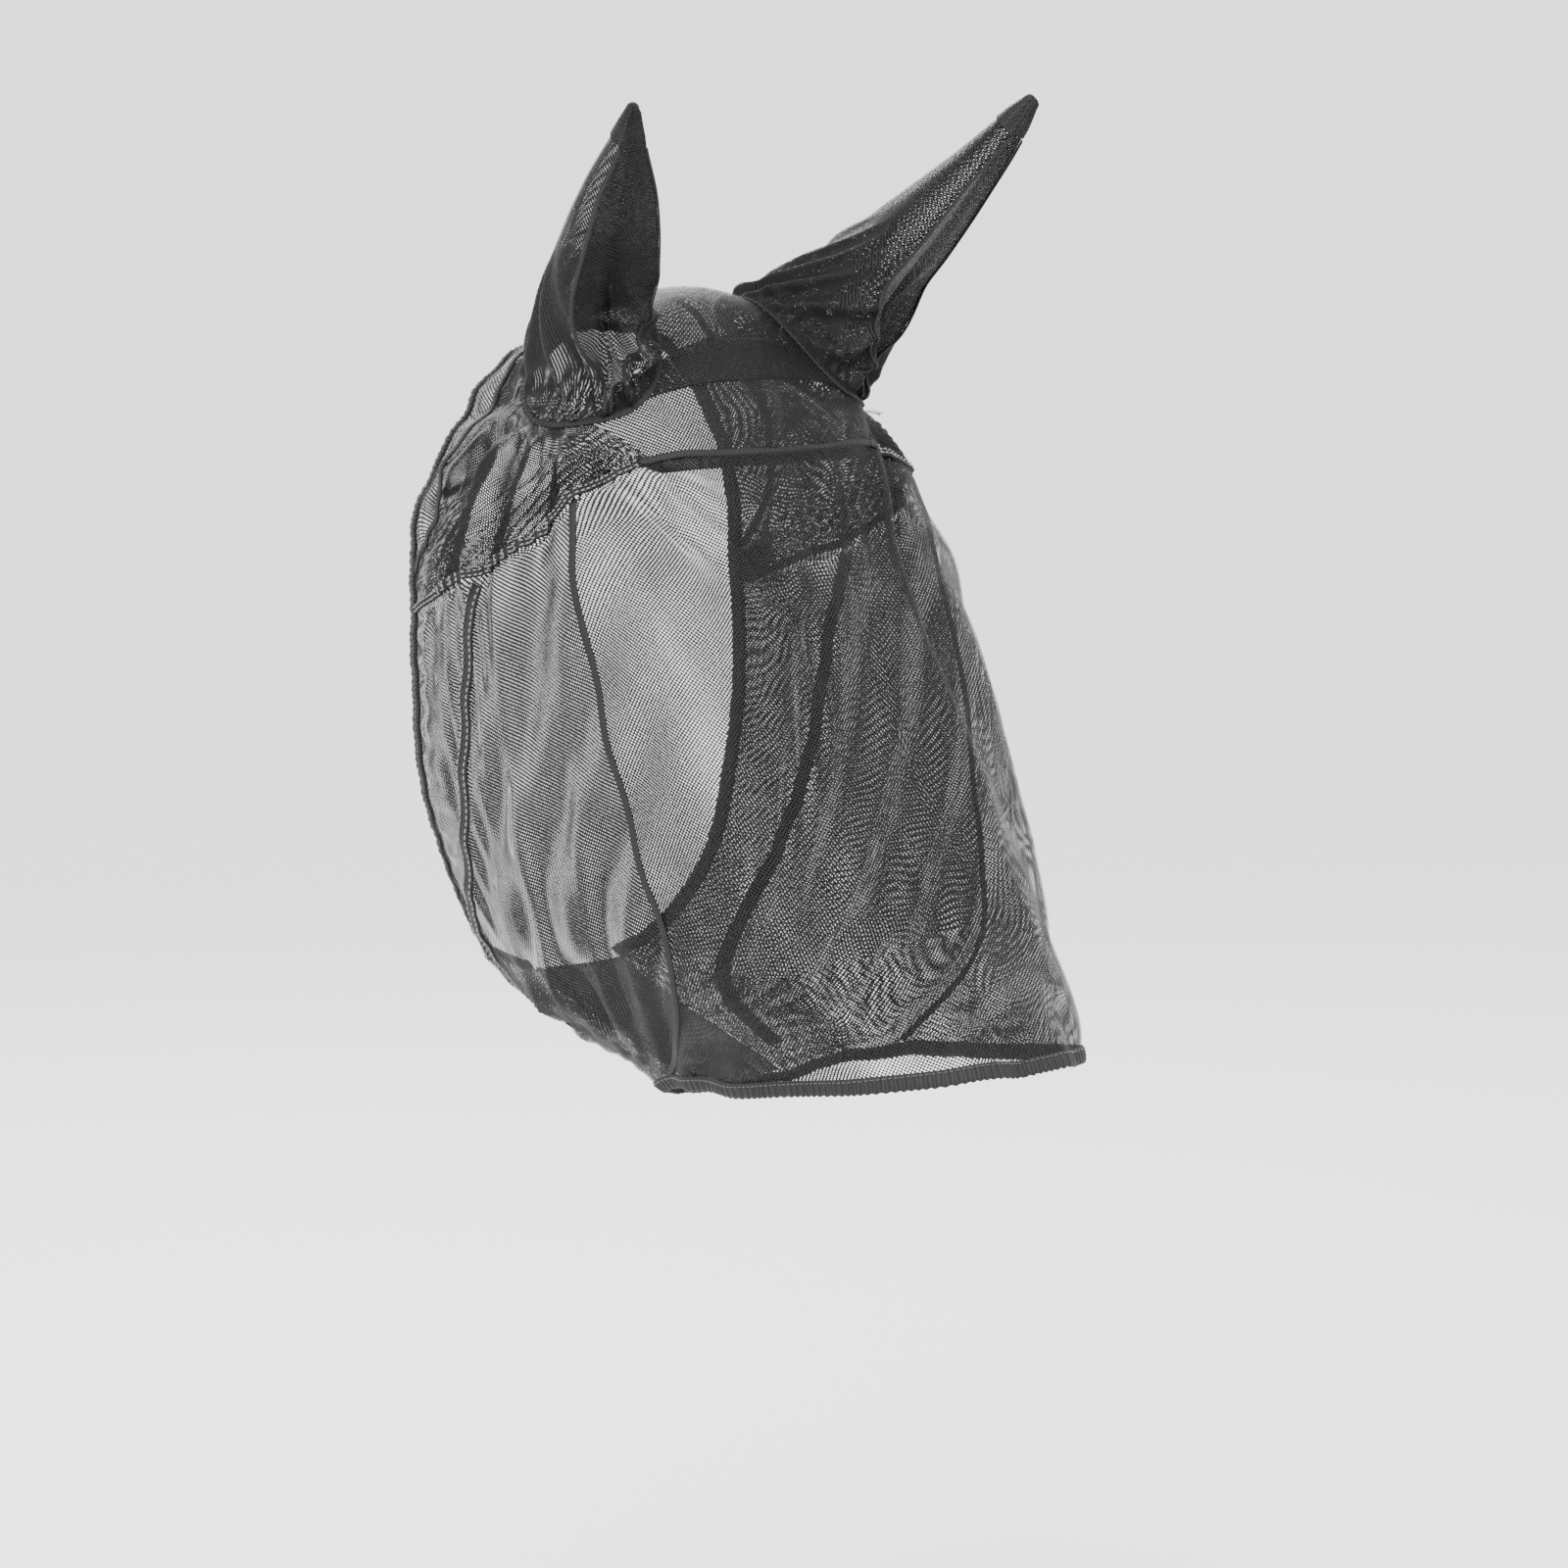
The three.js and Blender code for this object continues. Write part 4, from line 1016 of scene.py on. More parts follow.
@dataclass
class Part:
    """A sub-assembly: shares the finishes and keeps its pieces, hiding the frame's parts that they stand for.
    """

    wardrobe: Wardrobe

    def keep(self, piece: bpy.types.Object, slot: str, *nodes: str, body: str = "hood",
             blend: tuple | None = None) -> None:
        """Keeps a piece: hides the CAD nodes it stands for and hangs it on the body it moves with.

        Args:
            piece: the object.
            slot: not used.
            nodes: CAD nodes that it replaces.
            body: the body it rides on.
            blend: (body, body, start, end) for fabric that crosses a joint, in place of body; if given, the
                piece's place is only baked in and it hangs on no body.
        """
        if blend:
            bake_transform(piece)
        else:
            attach(piece, body)
        if nodes:
            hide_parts(*nodes)
        LOG.info("%s: %d faces", piece.name, len(piece.data.polygons))

    @staticmethod
    def declare(piece: bpy.types.Object, grid: Array, held: str, *rests_on: str) -> None:
        """Does nothing: the piece is not declared as a sheet and no flat size is worked out.
        """

    def seam(self, name: str, run: Run, width: float, high: float, gather: float = 0.0,
             blend: tuple | None = None) -> None:
        """A taped seam: a low rounded bar over the join, which may be gathered along its length.

        Its section is a superellipse of the given width and height, and its gathers are a sine of the length.

        Args:
            name: the piece's name, and the CAD node that it replaces.
            run: the seam's path.
            width, high: the section's size.
            gather: how deep its gathers are, in metres.
            blend: as for keep.
        """
        turn = np.arange(14) * TURN / 14
        a = width / 2 * np.sign(np.cos(turn)) * np.abs(np.cos(turn)) ** 0.75
        o = high / 2 * np.sign(np.sin(turn)) * np.abs(np.sin(turn)) ** 0.75 + high * 0.3
        steps = np.concatenate([[0], np.cumsum(np.linalg.norm(np.diff(run.at, axis=0), axis=-1))])
        wave = np.sin(steps * TURN / 0.0034 + 1.3 * np.sin(steps * TURN / 0.021))
        a = a[None] * (1 + 0.5 * gather / width * wave[:, None])
        o = o[None] + gather * 0.5 * wave[:, None] * (np.sin(turn) > -0.2)
        taper = np.ones(len(run.at)) if run.closed else np.sqrt(
            np.clip(np.minimum(steps, steps[-1] - steps) / (width * 0.6), 0.02, 1))
        piece = run.bar(name, a * taper[:, None], o * taper[:, None], self.wardrobe.tape)
        self.keep(piece, "tape", name, blend=blend)


@dataclass
class EarShape:
    """One ear pocket's surface: ellipses along its axis, with a leaf-shaped hollow at the front."""

    side: Side
    length: float = 0.184
    depth: float = 0.080
    width: float = 0.066
    bow: float = 0.005
    edge: float = 0.0055
    lift: float = 0.0005
    tip_share: float = 1 - 0.020 / 0.184
    hollow_middle: float = 0.58 * math.pi
    hollow_half: float = 0.28 * math.pi
    hollow_sink: float = 0.52
    base: Array = field(init=False)
    up: Array = field(init=False)
    axis: Array = field(init=False)
    fore: Array = field(init=False)

    def __post_init__(self) -> None:
        """Sets the ear's own directions from its place on the hood."""
        k = self.side.value
        self.base = FORM.on(np.array([k * 0.066, 0.004, -0.038]))
        self.up = FORM.normal(self.base)
        self.axis = unit(np.array([k * 66.0, -125.0, 138.0]))
        self.fore = np.array([k * 0.43, -0.62, -0.66])

    def section(self, share: Array) -> tuple[Array, Array, Array, Array, Array]:
        """Middle, fore and out directions and half sizes of the ear at shares of its length."""
        share = np.asarray(share, float)
        at = np.array([0, 0.2, 0.47, 0.73, 0.93, 1])
        half_depth = self.depth / 2 * cubic_run(at, (1, 0.8, 0.55, 0.31, 0.15, 0.06), share)
        half_width = self.width / 2 * cubic_run(at, (1, 0.9, 0.74, 0.5, 0.19, 0.07), share)
        lean = smooth(0, 0.35, share)[..., None]
        normal = unit(self.up * (1 - lean) + self.axis * lean)
        fore = unit(self.fore - (normal @ self.fore)[..., None] * normal)
        out = unit(np.cross(fore, normal))
        out = out * np.where(out[..., :1] * self.side.value < 0, -1, 1)
        middle = self.base + self.axis * self.length * share[..., None]
        middle = middle + fore * (self.bow * np.sin(np.pi * share))[..., None]
        return middle, fore, out, half_depth, half_width

    def leaf(self, share: Array) -> Array:
        """Half the angle that the hollow takes up: it opens from near the base and narrows to the tip."""
        opens = 0.06 + 0.94 * smooth(0.05, 0.42, share)
        return self.hollow_half * opens * (1 - 0.3 * smooth(0.7, 1, share))

    def folds(self, share: Array, angle: Array) -> Array:
        """How far the skin stands out of the plain ellipse, in gathers that wind up from the base."""
        gathers = pleat(11 * (angle + 3.0 * share) + 1.7 * np.sin(3 * angle + 1), 0.5)
        fine = pleat(25 * (angle - 0.8 * share) + 1.1 * np.sin(5 * angle), 0.6)
        reach = smooth(0.0, 0.07, share) * (1 - smooth(0.10, 0.52, share))
        close = smooth(0.0, 0.03, share) * (1 - smooth(0.03, 0.18, share))
        long = np.sin(2 * angle + 5 * share + self.side.value) * smooth(0.1, 0.3, share)
        long = long * (1 - smooth(0.5, 1, share))
        swell = 0.0048 * bump(share - 0.09, 0.075) * smooth(0.0, 0.045, share)
        swell = swell * (0.65 + 0.35 * np.cos(angle + 0.6))
        return 0.0035 * gathers * reach + 0.0014 * fine * close + 0.0012 * long + swell

    def point(self, share: Array, angle: Array, grow: Array = 0.0) -> Array:
        """Points of the ear's skin; angle 0 faces out and a quarter turn is its front edge.

        The ellipse of the section, drawn in over the hollow by a sine of the way across it, and settled onto
        the hood at the rim.
        """
        share, angle = np.broadcast_arrays(np.asarray(share, float), np.asarray(angle, float))
        middle, fore, out, half_depth, half_width = self.section(share)
        turned = (angle - self.hollow_middle + math.pi) % TURN - math.pi
        across = np.clip(turned / self.leaf(share), -1, 1)
        dip = np.cos(across * math.pi / 2) ** 1.5 * smooth(0.08, 0.34, share)
        dip = dip * (1 - 0.4 * smooth(0.8, 1, share))
        shrink = 1 - self.hollow_sink * dip
        rim = bump((np.abs(turned) - self.leaf(share)), 0.12) * smooth(0.1, 0.3, share) * 0.0024
        flare = self.edge * (1 - smooth(0, 0.1, share))
        extra = grow + flare + rim + self.folds(share, angle)

        def place(m: Array, o: Array, f: Array, w: Array, d: Array, more: Array) -> Array:
            along_out, along_fore = (w + more) * np.cos(angle), (d + more) * np.sin(angle)
            return m + o * along_out[..., None] + f * along_fore[..., None]

        zero = np.zeros_like(share)
        m0, f0, o0, d0, w0 = self.section(zero)
        rim_point = place(m0, o0, f0, w0, d0, self.edge)
        settle = FORM.on(rim_point) - rim_point + self.up * self.lift
        skin = place(middle, out, fore, half_width * shrink, half_depth * shrink, extra)
        return skin + settle * (1 - smooth(0, 0.3, share))[..., None]

    def ring(self, angle: Array, more: float = 0.0) -> Array:
        """Guide points round the ear's base, where the hood ends and the pocket begins."""
        m, f, o, d, w = self.section(np.zeros_like(np.asarray(angle, float)))
        reach = self.edge + more
        return m + o * ((w + reach) * np.cos(angle))[..., None] + f * ((d + reach) * np.sin(angle))[..., None]

    def blend(self) -> tuple:
        """The hood and ear bodies with two points along the pocket's cloth; keep only reads whether it is
        given and bakes the piece in place.
        """
        start, end = self.base - self.up * 0.004, self.base + self.axis * 0.05
        return ("hood", f"ear_pocket_{self.side.word}", start, end)


@dataclass(frozen=True)
class Drape:
    """How far the worn net stands off the smooth form: one field over the whole hood, so that panels meet.

    Attributes:
        depths: depths below the poll that the face creases are given at, in metres.
        creases: how far from the middle the crease is at each depth, right then left.
        ridges: how high it stands at each depth, right then left.
        valleys: how deep the roll outside it is at each depth, right then left.
    """

    ears: tuple[EarShape, EarShape]
    depths: tuple[float, ...] = (0.070, 0.084, 0.105, 0.125, 0.178, 0.228, 0.268, 0.333, 0.372)
    creases: tuple[tuple[float, ...], tuple[float, ...]] = (
        (0.086, 0.079, 0.066, 0.053, 0.037, 0.033, 0.028, 0.030, 0.033),
        (0.084, 0.077, 0.063, 0.050, 0.035, 0.034, 0.031, 0.033, 0.030))
    ridges: tuple[tuple[float, ...], tuple[float, ...]] = (
        (0.000, 0.0020, 0.0050, 0.0052, 0.0030, 0.0018, 0.0015, 0.0018, 0.0018),
        (0.000, 0.0020, 0.0060, 0.0072, 0.0058, 0.0044, 0.0036, 0.0036, 0.0030))
    valleys: tuple[tuple[float, ...], tuple[float, ...]] = (
        (0.000, 0.0012, 0.0062, 0.0070, 0.0036, 0.0014, 0.0008, 0.0012, 0.0010),
        (0.000, 0.0012, 0.0075, 0.0095, 0.0056, 0.0022, 0.0012, 0.0024, 0.0020))
    broad: Ripple = Ripple(11, 0.10)
    fine: Ripple = Ripple(23, 0.034)

    def creased(self, p: Array, side: Side) -> Array:
        """The crease from one brow corner down the front: a narrow ridge with a rolled valley outside it."""
        depth = -p[..., 2]
        k = list(Side).index(side)
        given = self.creases, self.ridges, self.valleys
        path, height, roll = (np.interp(depth, self.depths, values[k]) for values in given)
        off = side.value * p[..., 0] - path
        wide = 0.0046 + 0.0075 * smooth(0.10, 0.26, depth)
        ridge = height * bump(off, wide)
        valley = roll * bump(off - wide * 2.6, wide * 1.7) + 0.35 * roll * bump(off + wide * 2.3, wide * 1.5)
        return ridge - valley

    def brow_folds(self, p: Array, side: Side) -> Array:
        """Soft tension folds that fan down from a brow corner: a sine of the angle about it."""
        dx = 0.080 - side.value * p[..., 0]
        dz = -0.080 - p[..., 2]
        far = np.hypot(dx, dz)
        fan = np.arctan2(dx, np.maximum(dz, 1e-4))
        reach = smooth(0.004, 0.03, far) * (1 - smooth(0.06, 0.17, far)) * (dz > 0)
        return 0.0019 * np.sin(8.5 * fan + 0.6 * side.value + 9 * far) * reach * smooth(0.05, 0.3, fan)

    def nose_folds(self, p: Array) -> Array:
        """Gathers that rise from the nose hem: crests at uneven turns round the nose, each fading upwards."""
        turn = np.arctan2(p[..., 0], 0.04 - p[..., 1])
        above = p[..., 2] + 0.372 + 0.042 * smooth(0.4, 2.2, np.abs(turn))
        rng = np.random.default_rng(5)
        out = np.zeros(p.shape[:-1])
        for k in range(19):
            middle = -2.7 + 0.3 * k + rng.uniform(-0.09, 0.09)
            wide, tall, high = rng.uniform(0.045, 0.085), rng.uniform(0.05, 0.19), rng.uniform(0.0018, 0.0052)
            lean = rng.uniform(-0.9, 0.9)
            out += high * bump(turn - middle - lean * above, wide) * np.exp(-np.maximum(above, 0) / tall)
        puckers = 0.0005 * np.sin(turn * 56 + 2 * np.sin(9 * turn)) * (1 - smooth(0.004, 0.024, above))
        return (out - 0.0012 * (1 - smooth(0, 0.09, above))) * smooth(-0.012, 0.02, above) + puckers

    def long_folds(self, p: Array) -> Array:
        """Broad folds that hang down the front: a sine of the distance across, swaying with the height."""
        x, z = p[..., 0], p[..., 2]
        sway = 0.010 * np.sin(z * 17) + 0.16 * z
        reach = smooth(0.10, 0.20, -z) * smooth(0.0, 0.05, 0.01 - p[..., 1])
        narrow = np.sin((x + 0.7 * sway) * TURN / 0.021 + 1.7 * np.sin(z * 23))
        return (0.0017 * pleat((x + sway) * TURN / 0.044 + 0.8, 0.7) + 0.0005 * narrow) * reach

    def over_flank(self, p: Array) -> Array:
        """How far points are above the side seam."""
        along = [-0.052, -0.038, -0.019, 0.012, 0.051, 0.094]
        return p[..., 2] - np.interp(p[..., 1], along, [-0.086, -0.103, -0.120, -0.138, -0.153, -0.160])

    def gusset_folds(self, p: Array, ear: EarShape) -> Array:
        """Pleats between the ear and the side seam: a sine of the angle about the ear, wound down."""
        side = ear.side.value
        dy, dz = p[..., 1] - ear.base[1] + 0.010, p[..., 2] - ear.base[2]
        far = np.hypot(dy, dz)
        fan = np.arctan2(dy, -dz)
        over = self.over_flank(p)
        reach = smooth(0.035, 0.052, far) * smooth(-0.030, 0.012, over)
        reach = reach * smooth(0.050, 0.085, side * p[..., 0])
        reach = reach * (1 - 0.6 * smooth(0.06, 0.12, p[..., 1]))
        main = pleat(12 * fan + 22 * far + 1.3 * np.sin(2.3 * fan + side), 0.6)
        small = np.sin(27 * fan - 20 * far + side)
        along = p[..., 1] + 0.9 * over
        sewn = pleat(along * TURN / 0.0088 + 1.2 * np.sin(along * 90), 0.6) * smooth(-0.006, 0.006, over)
        sewn = sewn * (1 - smooth(0.018, 0.052, over)) * smooth(0.07, 0.09, side * p[..., 0])
        sewn = sewn * (1 - smooth(0.055, 0.085, p[..., 1]))
        off = p[..., 1] - 0.030 + 0.05 * (p[..., 2] + 0.05)
        fold = bump(off, 0.0055) - 0.6 * bump(off - 0.0125, 0.007) - 0.5 * bump(off + 0.0125, 0.007)
        return (0.0034 * main + 0.0010 * small + 0.0052 * fold) * reach + 0.0017 * sewn

    def cheek_folds(self, p: Array, side: Side) -> Array:
        """Soft upright folds on a cheek, and pleats that fan up from the chin and the throat band."""
        y, z = p[..., 1], p[..., 2]
        under = smooth(0.002, 0.05, -self.over_flank(p))
        own = smooth(0.045, 0.08, side.value * p[..., 0]) * under
        sway = 0.012 * np.sin(z * 19 + side.value) + 0.30 * z
        upright = np.sin((y + sway) * TURN / 0.047) * (1 - smooth(0.05, 0.10, y)) * smooth(-0.14, -0.08, y)
        fan = np.arctan2(y + 0.055, z + 0.425)
        far = np.hypot(y + 0.055, z + 0.425)
        chin = np.sin(15 * fan + 1.5 * side.value) * (1 - smooth(0.06, 0.17, far)) * smooth(0.03, 0.07, far)
        gather = pleat((y - 0.20 * z) * TURN / 0.013, 0.7) * bump(y - self.band_y(z), 0.016)
        return own * (0.0016 * upright + 0.0022 * chin + 0.0009 * gather)

    @staticmethod
    def band_y(z: Array) -> Array:
        """Where the throat band runs, from front to back, at a height."""
        down = [0.150, 0.190, 0.228, 0.268, 0.303, 0.338, 0.366, 0.384]
        return np.interp(-z, down, [0.024, 0.036, 0.042, 0.048, 0.056, 0.066, 0.056, 0.022])

    def neck_folds(self, p: Array) -> Array:
        """Small puckers along the neck edge: a sine of the distance round it, fading in from the edge."""
        back = smooth(0.052, 0.092, p[..., 1])
        round_it = np.where(np.abs(p[..., 2]) < 0.05, p[..., 0], p[..., 2])
        far = np.sin(round_it * TURN / 0.0155 + 2 * np.sin(round_it * 40))
        return 0.0009 * far * back * (1 - 0.75 * smooth(0.080, 0.096, p[..., 1]))

    def lift(self, p: Array) -> Array:
        """The whole field at points of the form, in metres outwards; it fades out at the rims of the ears."""
        ahead = smooth(0.01, 0.035, -p[..., 1]) * smooth(0.066, 0.080, -p[..., 2])
        out = 0.0013 * self.broad.at(p) + 0.00035 * self.fine.at(p)
        out = out + self.nose_folds(p) + self.neck_folds(p) + self.long_folds(p)
        for side, ear in zip(Side, self.ears):
            out = out + ahead * (self.creased(p, side) + self.brow_folds(p, side))
            out = out + self.gusset_folds(p, ear) + self.cheek_folds(p, side)
            out = out * smooth(0.040, 0.056, np.linalg.norm(p - ear.base, axis=-1))
        return out * (0.25 + 0.75 * smooth(0.0, 0.03, 0.412 + p[..., 2]))

    def cover(self, guide: Array, more: Array = 0.0) -> Array:
        """Points of the worn cloth under guide points, a height above it along the form's normals."""
        p = FORM.on(guide)
        return p + FORM.normal(p) * (self.lift(p) + more)[..., None]

    def run(self, line: Line, count: int, start: float = 0.0, end: float = 1.0, more: float = 0.0,
            closed: bool = False) -> Run:
        """A path of a guide line on the worn cloth, with the form's normals."""
        flat = Run.on_form(line, count, start, end, closed=closed)
        return Run(flat.at + flat.out * (self.lift(flat.at) + more)[:, None], flat.out, closed)


EARS = tuple(EarShape(side) for side in Side)
DRAPE = Drape(EARS)


def ear_of(side: Side) -> EarShape:
    """The ear of a side."""
    return EARS[0 if side is Side.RIGHT else 1]


def round_ear(side: Side, start: float, end: float) -> Line:
    """Guides round an ear's base between two angles."""
    return lambda t: ear_of(side).ring(start + (end - start) * np.asarray(t, float))


def ear_edge(side: Side, inner: bool) -> Line:
    """From the brow seam round the ear's base, by its inner or outer side, and on to the nape seam."""
    brow = CUT.brow()(CUT.brow_end(side, CUT.crown_start))
    nape = CUT.nape(side)(np.array(CUT.nape_ear))
    front, back = math.pi / 2, (1.5 if inner else -0.5) * math.pi
    ring = round_ear(side, front, back)
    lead_in, lead_out = straight(brow, ring(np.array(0.0))), straight(ring(np.array(1.0)), nape)
    return chain((0.14, lead_in), (0.88, ring), (1.0, lead_out))


@dataclass
class Hood(Part):
    """The top of the mask: crown, nape and the two pleated side gussets, with the seams between them.

    Attributes:
        nape_reach: how much of the nape seam the nape panel runs along.
        stitch_row: how far each row of stitches is from the side seam's middle.
        stitch_height: how high the rows lie on the tape.
    """

    nape_reach: float = 0.97
    stitch_row: float = 0.0012
    stitch_height: float = 0.00145

    def panel(self, name: str, top: Line, bottom: Line, left: Line, right: Line, rows: int, cols: int,
              weave: Weave = Weave(), held: str = "stretched") -> None:
        """Sews one net panel between four guides."""
        guide = coons(top, bottom, left, right, rows, cols)
        grid = DRAPE.cover(guide)
        net = self.wardrobe.gathered_net if held == "gathered" else self.wardrobe.net
        piece = cloth(name, grid, net, weave)
        self.keep(piece, "net", name)
        self.declare(piece, grid, held, "poll_rest")

    def build(self) -> None:
        """Builds the hood."""
        c = CUT.crown_start
        self.panel("crown_panel", part(CUT.brow(), c, 1 - c), CUT.across(CUT.nape, CUT.nape_ear),
                   ear_edge(Side.RIGHT, True), ear_edge(Side.LEFT, True), 70, 64)
        top = CUT.across(CUT.nape, self.nape_reach)
        bottom = CUT.across(CUT.neck, CUT.neck_nape * self.nape_reach)
        ends = [np.array(0.0), np.array(1.0)]
        self.panel("nape_panel", top, bottom, straight(top(ends[0]), bottom(ends[0])),
                   straight(top(ends[1]), bottom(ends[1])), 22, 190)
        for side in Side:
            k = CUT.brow_end(side, c), CUT.brow_end(side, 0.0)
            back = chain((0.88, part(CUT.nape(side), CUT.nape_ear, 1.0)),
                         (1.0, part(CUT.neck(side), CUT.neck_nape, CUT.neck_side)))
            self.panel(f"gusset_{side.word}", ear_edge(side, False), CUT.flank(side),
                       part(CUT.brow(), *k), back, 64, 150, Weave(side.value * 0.5, 1.45), "gathered")
            self.seam(f"nape_seam_{side.word}", DRAPE.run(CUT.nape(side), 150, 0.0, 0.99), 0.0045, 0.0016,
                      gather=0.0003)
            flank = DRAPE.run(CUT.flank(side), 150, 0.0, 0.99)
            self.seam(f"side_seam_{side.word}", flank, 0.0046, 0.0018, gather=0.0004)
            for word, row in (("lower", -self.stitch_row), ("upper", self.stitch_row)):
                sewn = Stitches().sew(f"side_stitches_{side.word}_{word}", flank, row, self.stitch_height,
                                      self.wardrobe.pale_thread)
                self.keep(sewn, "tape")


@dataclass
class Mask(Part):
    """The face and cheek panels with their seams, the brow seam and its facing, and the throat bands.

    Attributes:
        facing_guide: how far down the facing's guide goes from the brow seam.
        facing_behind: how far the facing lies behind the face panel's outer side.
        band_width, band_thick: the throat band's section.
        band_height: how far its middle stands off the cheek.
        band_row: how far each row of its stitches is from its middle.
    """

    facing_guide: float = 0.0150
    facing_behind: float = 0.0011
    band_width: float = 0.009
    band_thick: float = 0.0014
    band_height: float = 0.0012
    band_row: float = 0.0031

    def face(self) -> None:
        """The face panel: from the brow and the first of the side seams down to the nose hem."""
        corner = CUT.face_corner
        right, left = CUT.flank(Side.RIGHT), CUT.flank(Side.LEFT)
        top = chain((corner, part(right, CUT.face_start, 0.0)), (1 - corner, CUT.brow()),
                    (1.0, part(left, 0.0, CUT.face_start)))

        def bottom(u: Array) -> Array:
            u = np.asarray(u, float)
            turn = CUT.face_hem_turn * np.abs(1 - 2 * u)
            return np.where((u < 0.5)[..., None], FORM.hem(Side.RIGHT, turn), FORM.hem(Side.LEFT, turn))

        guide = coons(top, bottom, CUT.face(Side.RIGHT), CUT.face(Side.LEFT), 150, 170)
        grid = DRAPE.cover(guide)
        piece = cloth("face_panel", grid, self.wardrobe.open_net)
        self.keep(piece, "net", "face_panel")
        self.declare(piece, grid, "stretched", "poll_rest")

    def cheek(self, side: Side) -> None:
        """One cheek panel: from the side seam down to the hem and back to the neck edge and the closure."""
        throat, chin_turn = CUT.throat_share(), CUT.chin_turn()
        neck = CUT.neck(side)
        turn = CUT.face_hem_turn

        def bottom(u: Array) -> Array:
            return FORM.hem(side, turn + (chin_turn - turn) * np.asarray(u, float))

        back = chain((CUT.cheek_turn, part(neck, CUT.neck_side, throat)),
                     (1.0, straight(neck(np.array(throat)), FORM.hem(side, np.array(chin_turn)))))
        guide = coons(part(CUT.flank(side), CUT.face_start, 1.0), bottom, CUT.face(side), back, 130, 84)
        grid = DRAPE.cover(guide)
        name = f"cheek_panel_{side.word}"
        piece = cloth(name, grid, self.wardrobe.net, Weave(side.value * 0.12))
        self.keep(piece, "net", name)
        self.declare(piece, grid, "stretched", "poll_rest")

    def brow(self) -> None:
        """The brow seam and the doubled facing inside it."""
        run = DRAPE.run(CUT.brow(), 180)
        self.seam("brow_seam", run, 0.0042, 0.0017, gather=0.0002)
        shares = np.linspace(0.0, 1.0, 160)
        top = CUT.brow()(shares)
        rows = np.linspace(0.0, self.facing_guide, 9)
        down = np.array([0.0, -0.15, -0.99])
        ends = 0.3 + 0.7 * smooth(0.0, 0.12, np.minimum(shares, 1 - shares))
        guide = top[None] + (rows[:, None] * ends)[..., None] * down
        grid = DRAPE.cover(guide, -self.facing_behind)
        facing = cloth("brow_facing", grid, self.wardrobe.double_net, thick=0.0006)
        self.keep(facing, "tape", "brow_facing")
        self.declare(facing, grid, "folded", "face_panel")

    def band(self, side: Side) -> None:
        """The flat elastic down the back of a cheek, sewn on by two rows of pale stitches."""
        run = DRAPE.run(CUT.throat_band(side), 170, 0.0, 0.995, more=self.band_height)
        a = np.array([-1, -0.9, -0.3, 0.3, 0.9, 1, 1, 0.9, 0.3, -0.3, -0.9, -1]) * self.band_width / 2
        o = np.array([0.2, 1, 1, 1, 1, 0.2, -0.2, -1, -1, -1, -1, -0.2]) * self.band_thick / 2
        piece = run.bar(f"throat_band_{side.word}", a, o, self.wardrobe.elastic)
        self.keep(piece, "elastic", f"throat_band_{side.word}")
        for word, row in (("back", -self.band_row), ("front", self.band_row)):
            sewn = Stitches(pitch=0.0036).sew(f"band_stitches_{side.word}_{word}", run, row,
                                              self.band_thick / 2, self.wardrobe.pale_thread)
            self.keep(sewn, "elastic")

    def build(self) -> None:
        """Builds the mask's face."""
        self.face()
        self.brow()
        for side in Side:
            self.cheek(side)
            self.seam(f"face_seam_{side.word}", DRAPE.run(CUT.face(side), 190, 0.005, 0.985), 0.0042, 0.0015,
                      gather=0.0003)
            self.band(side)


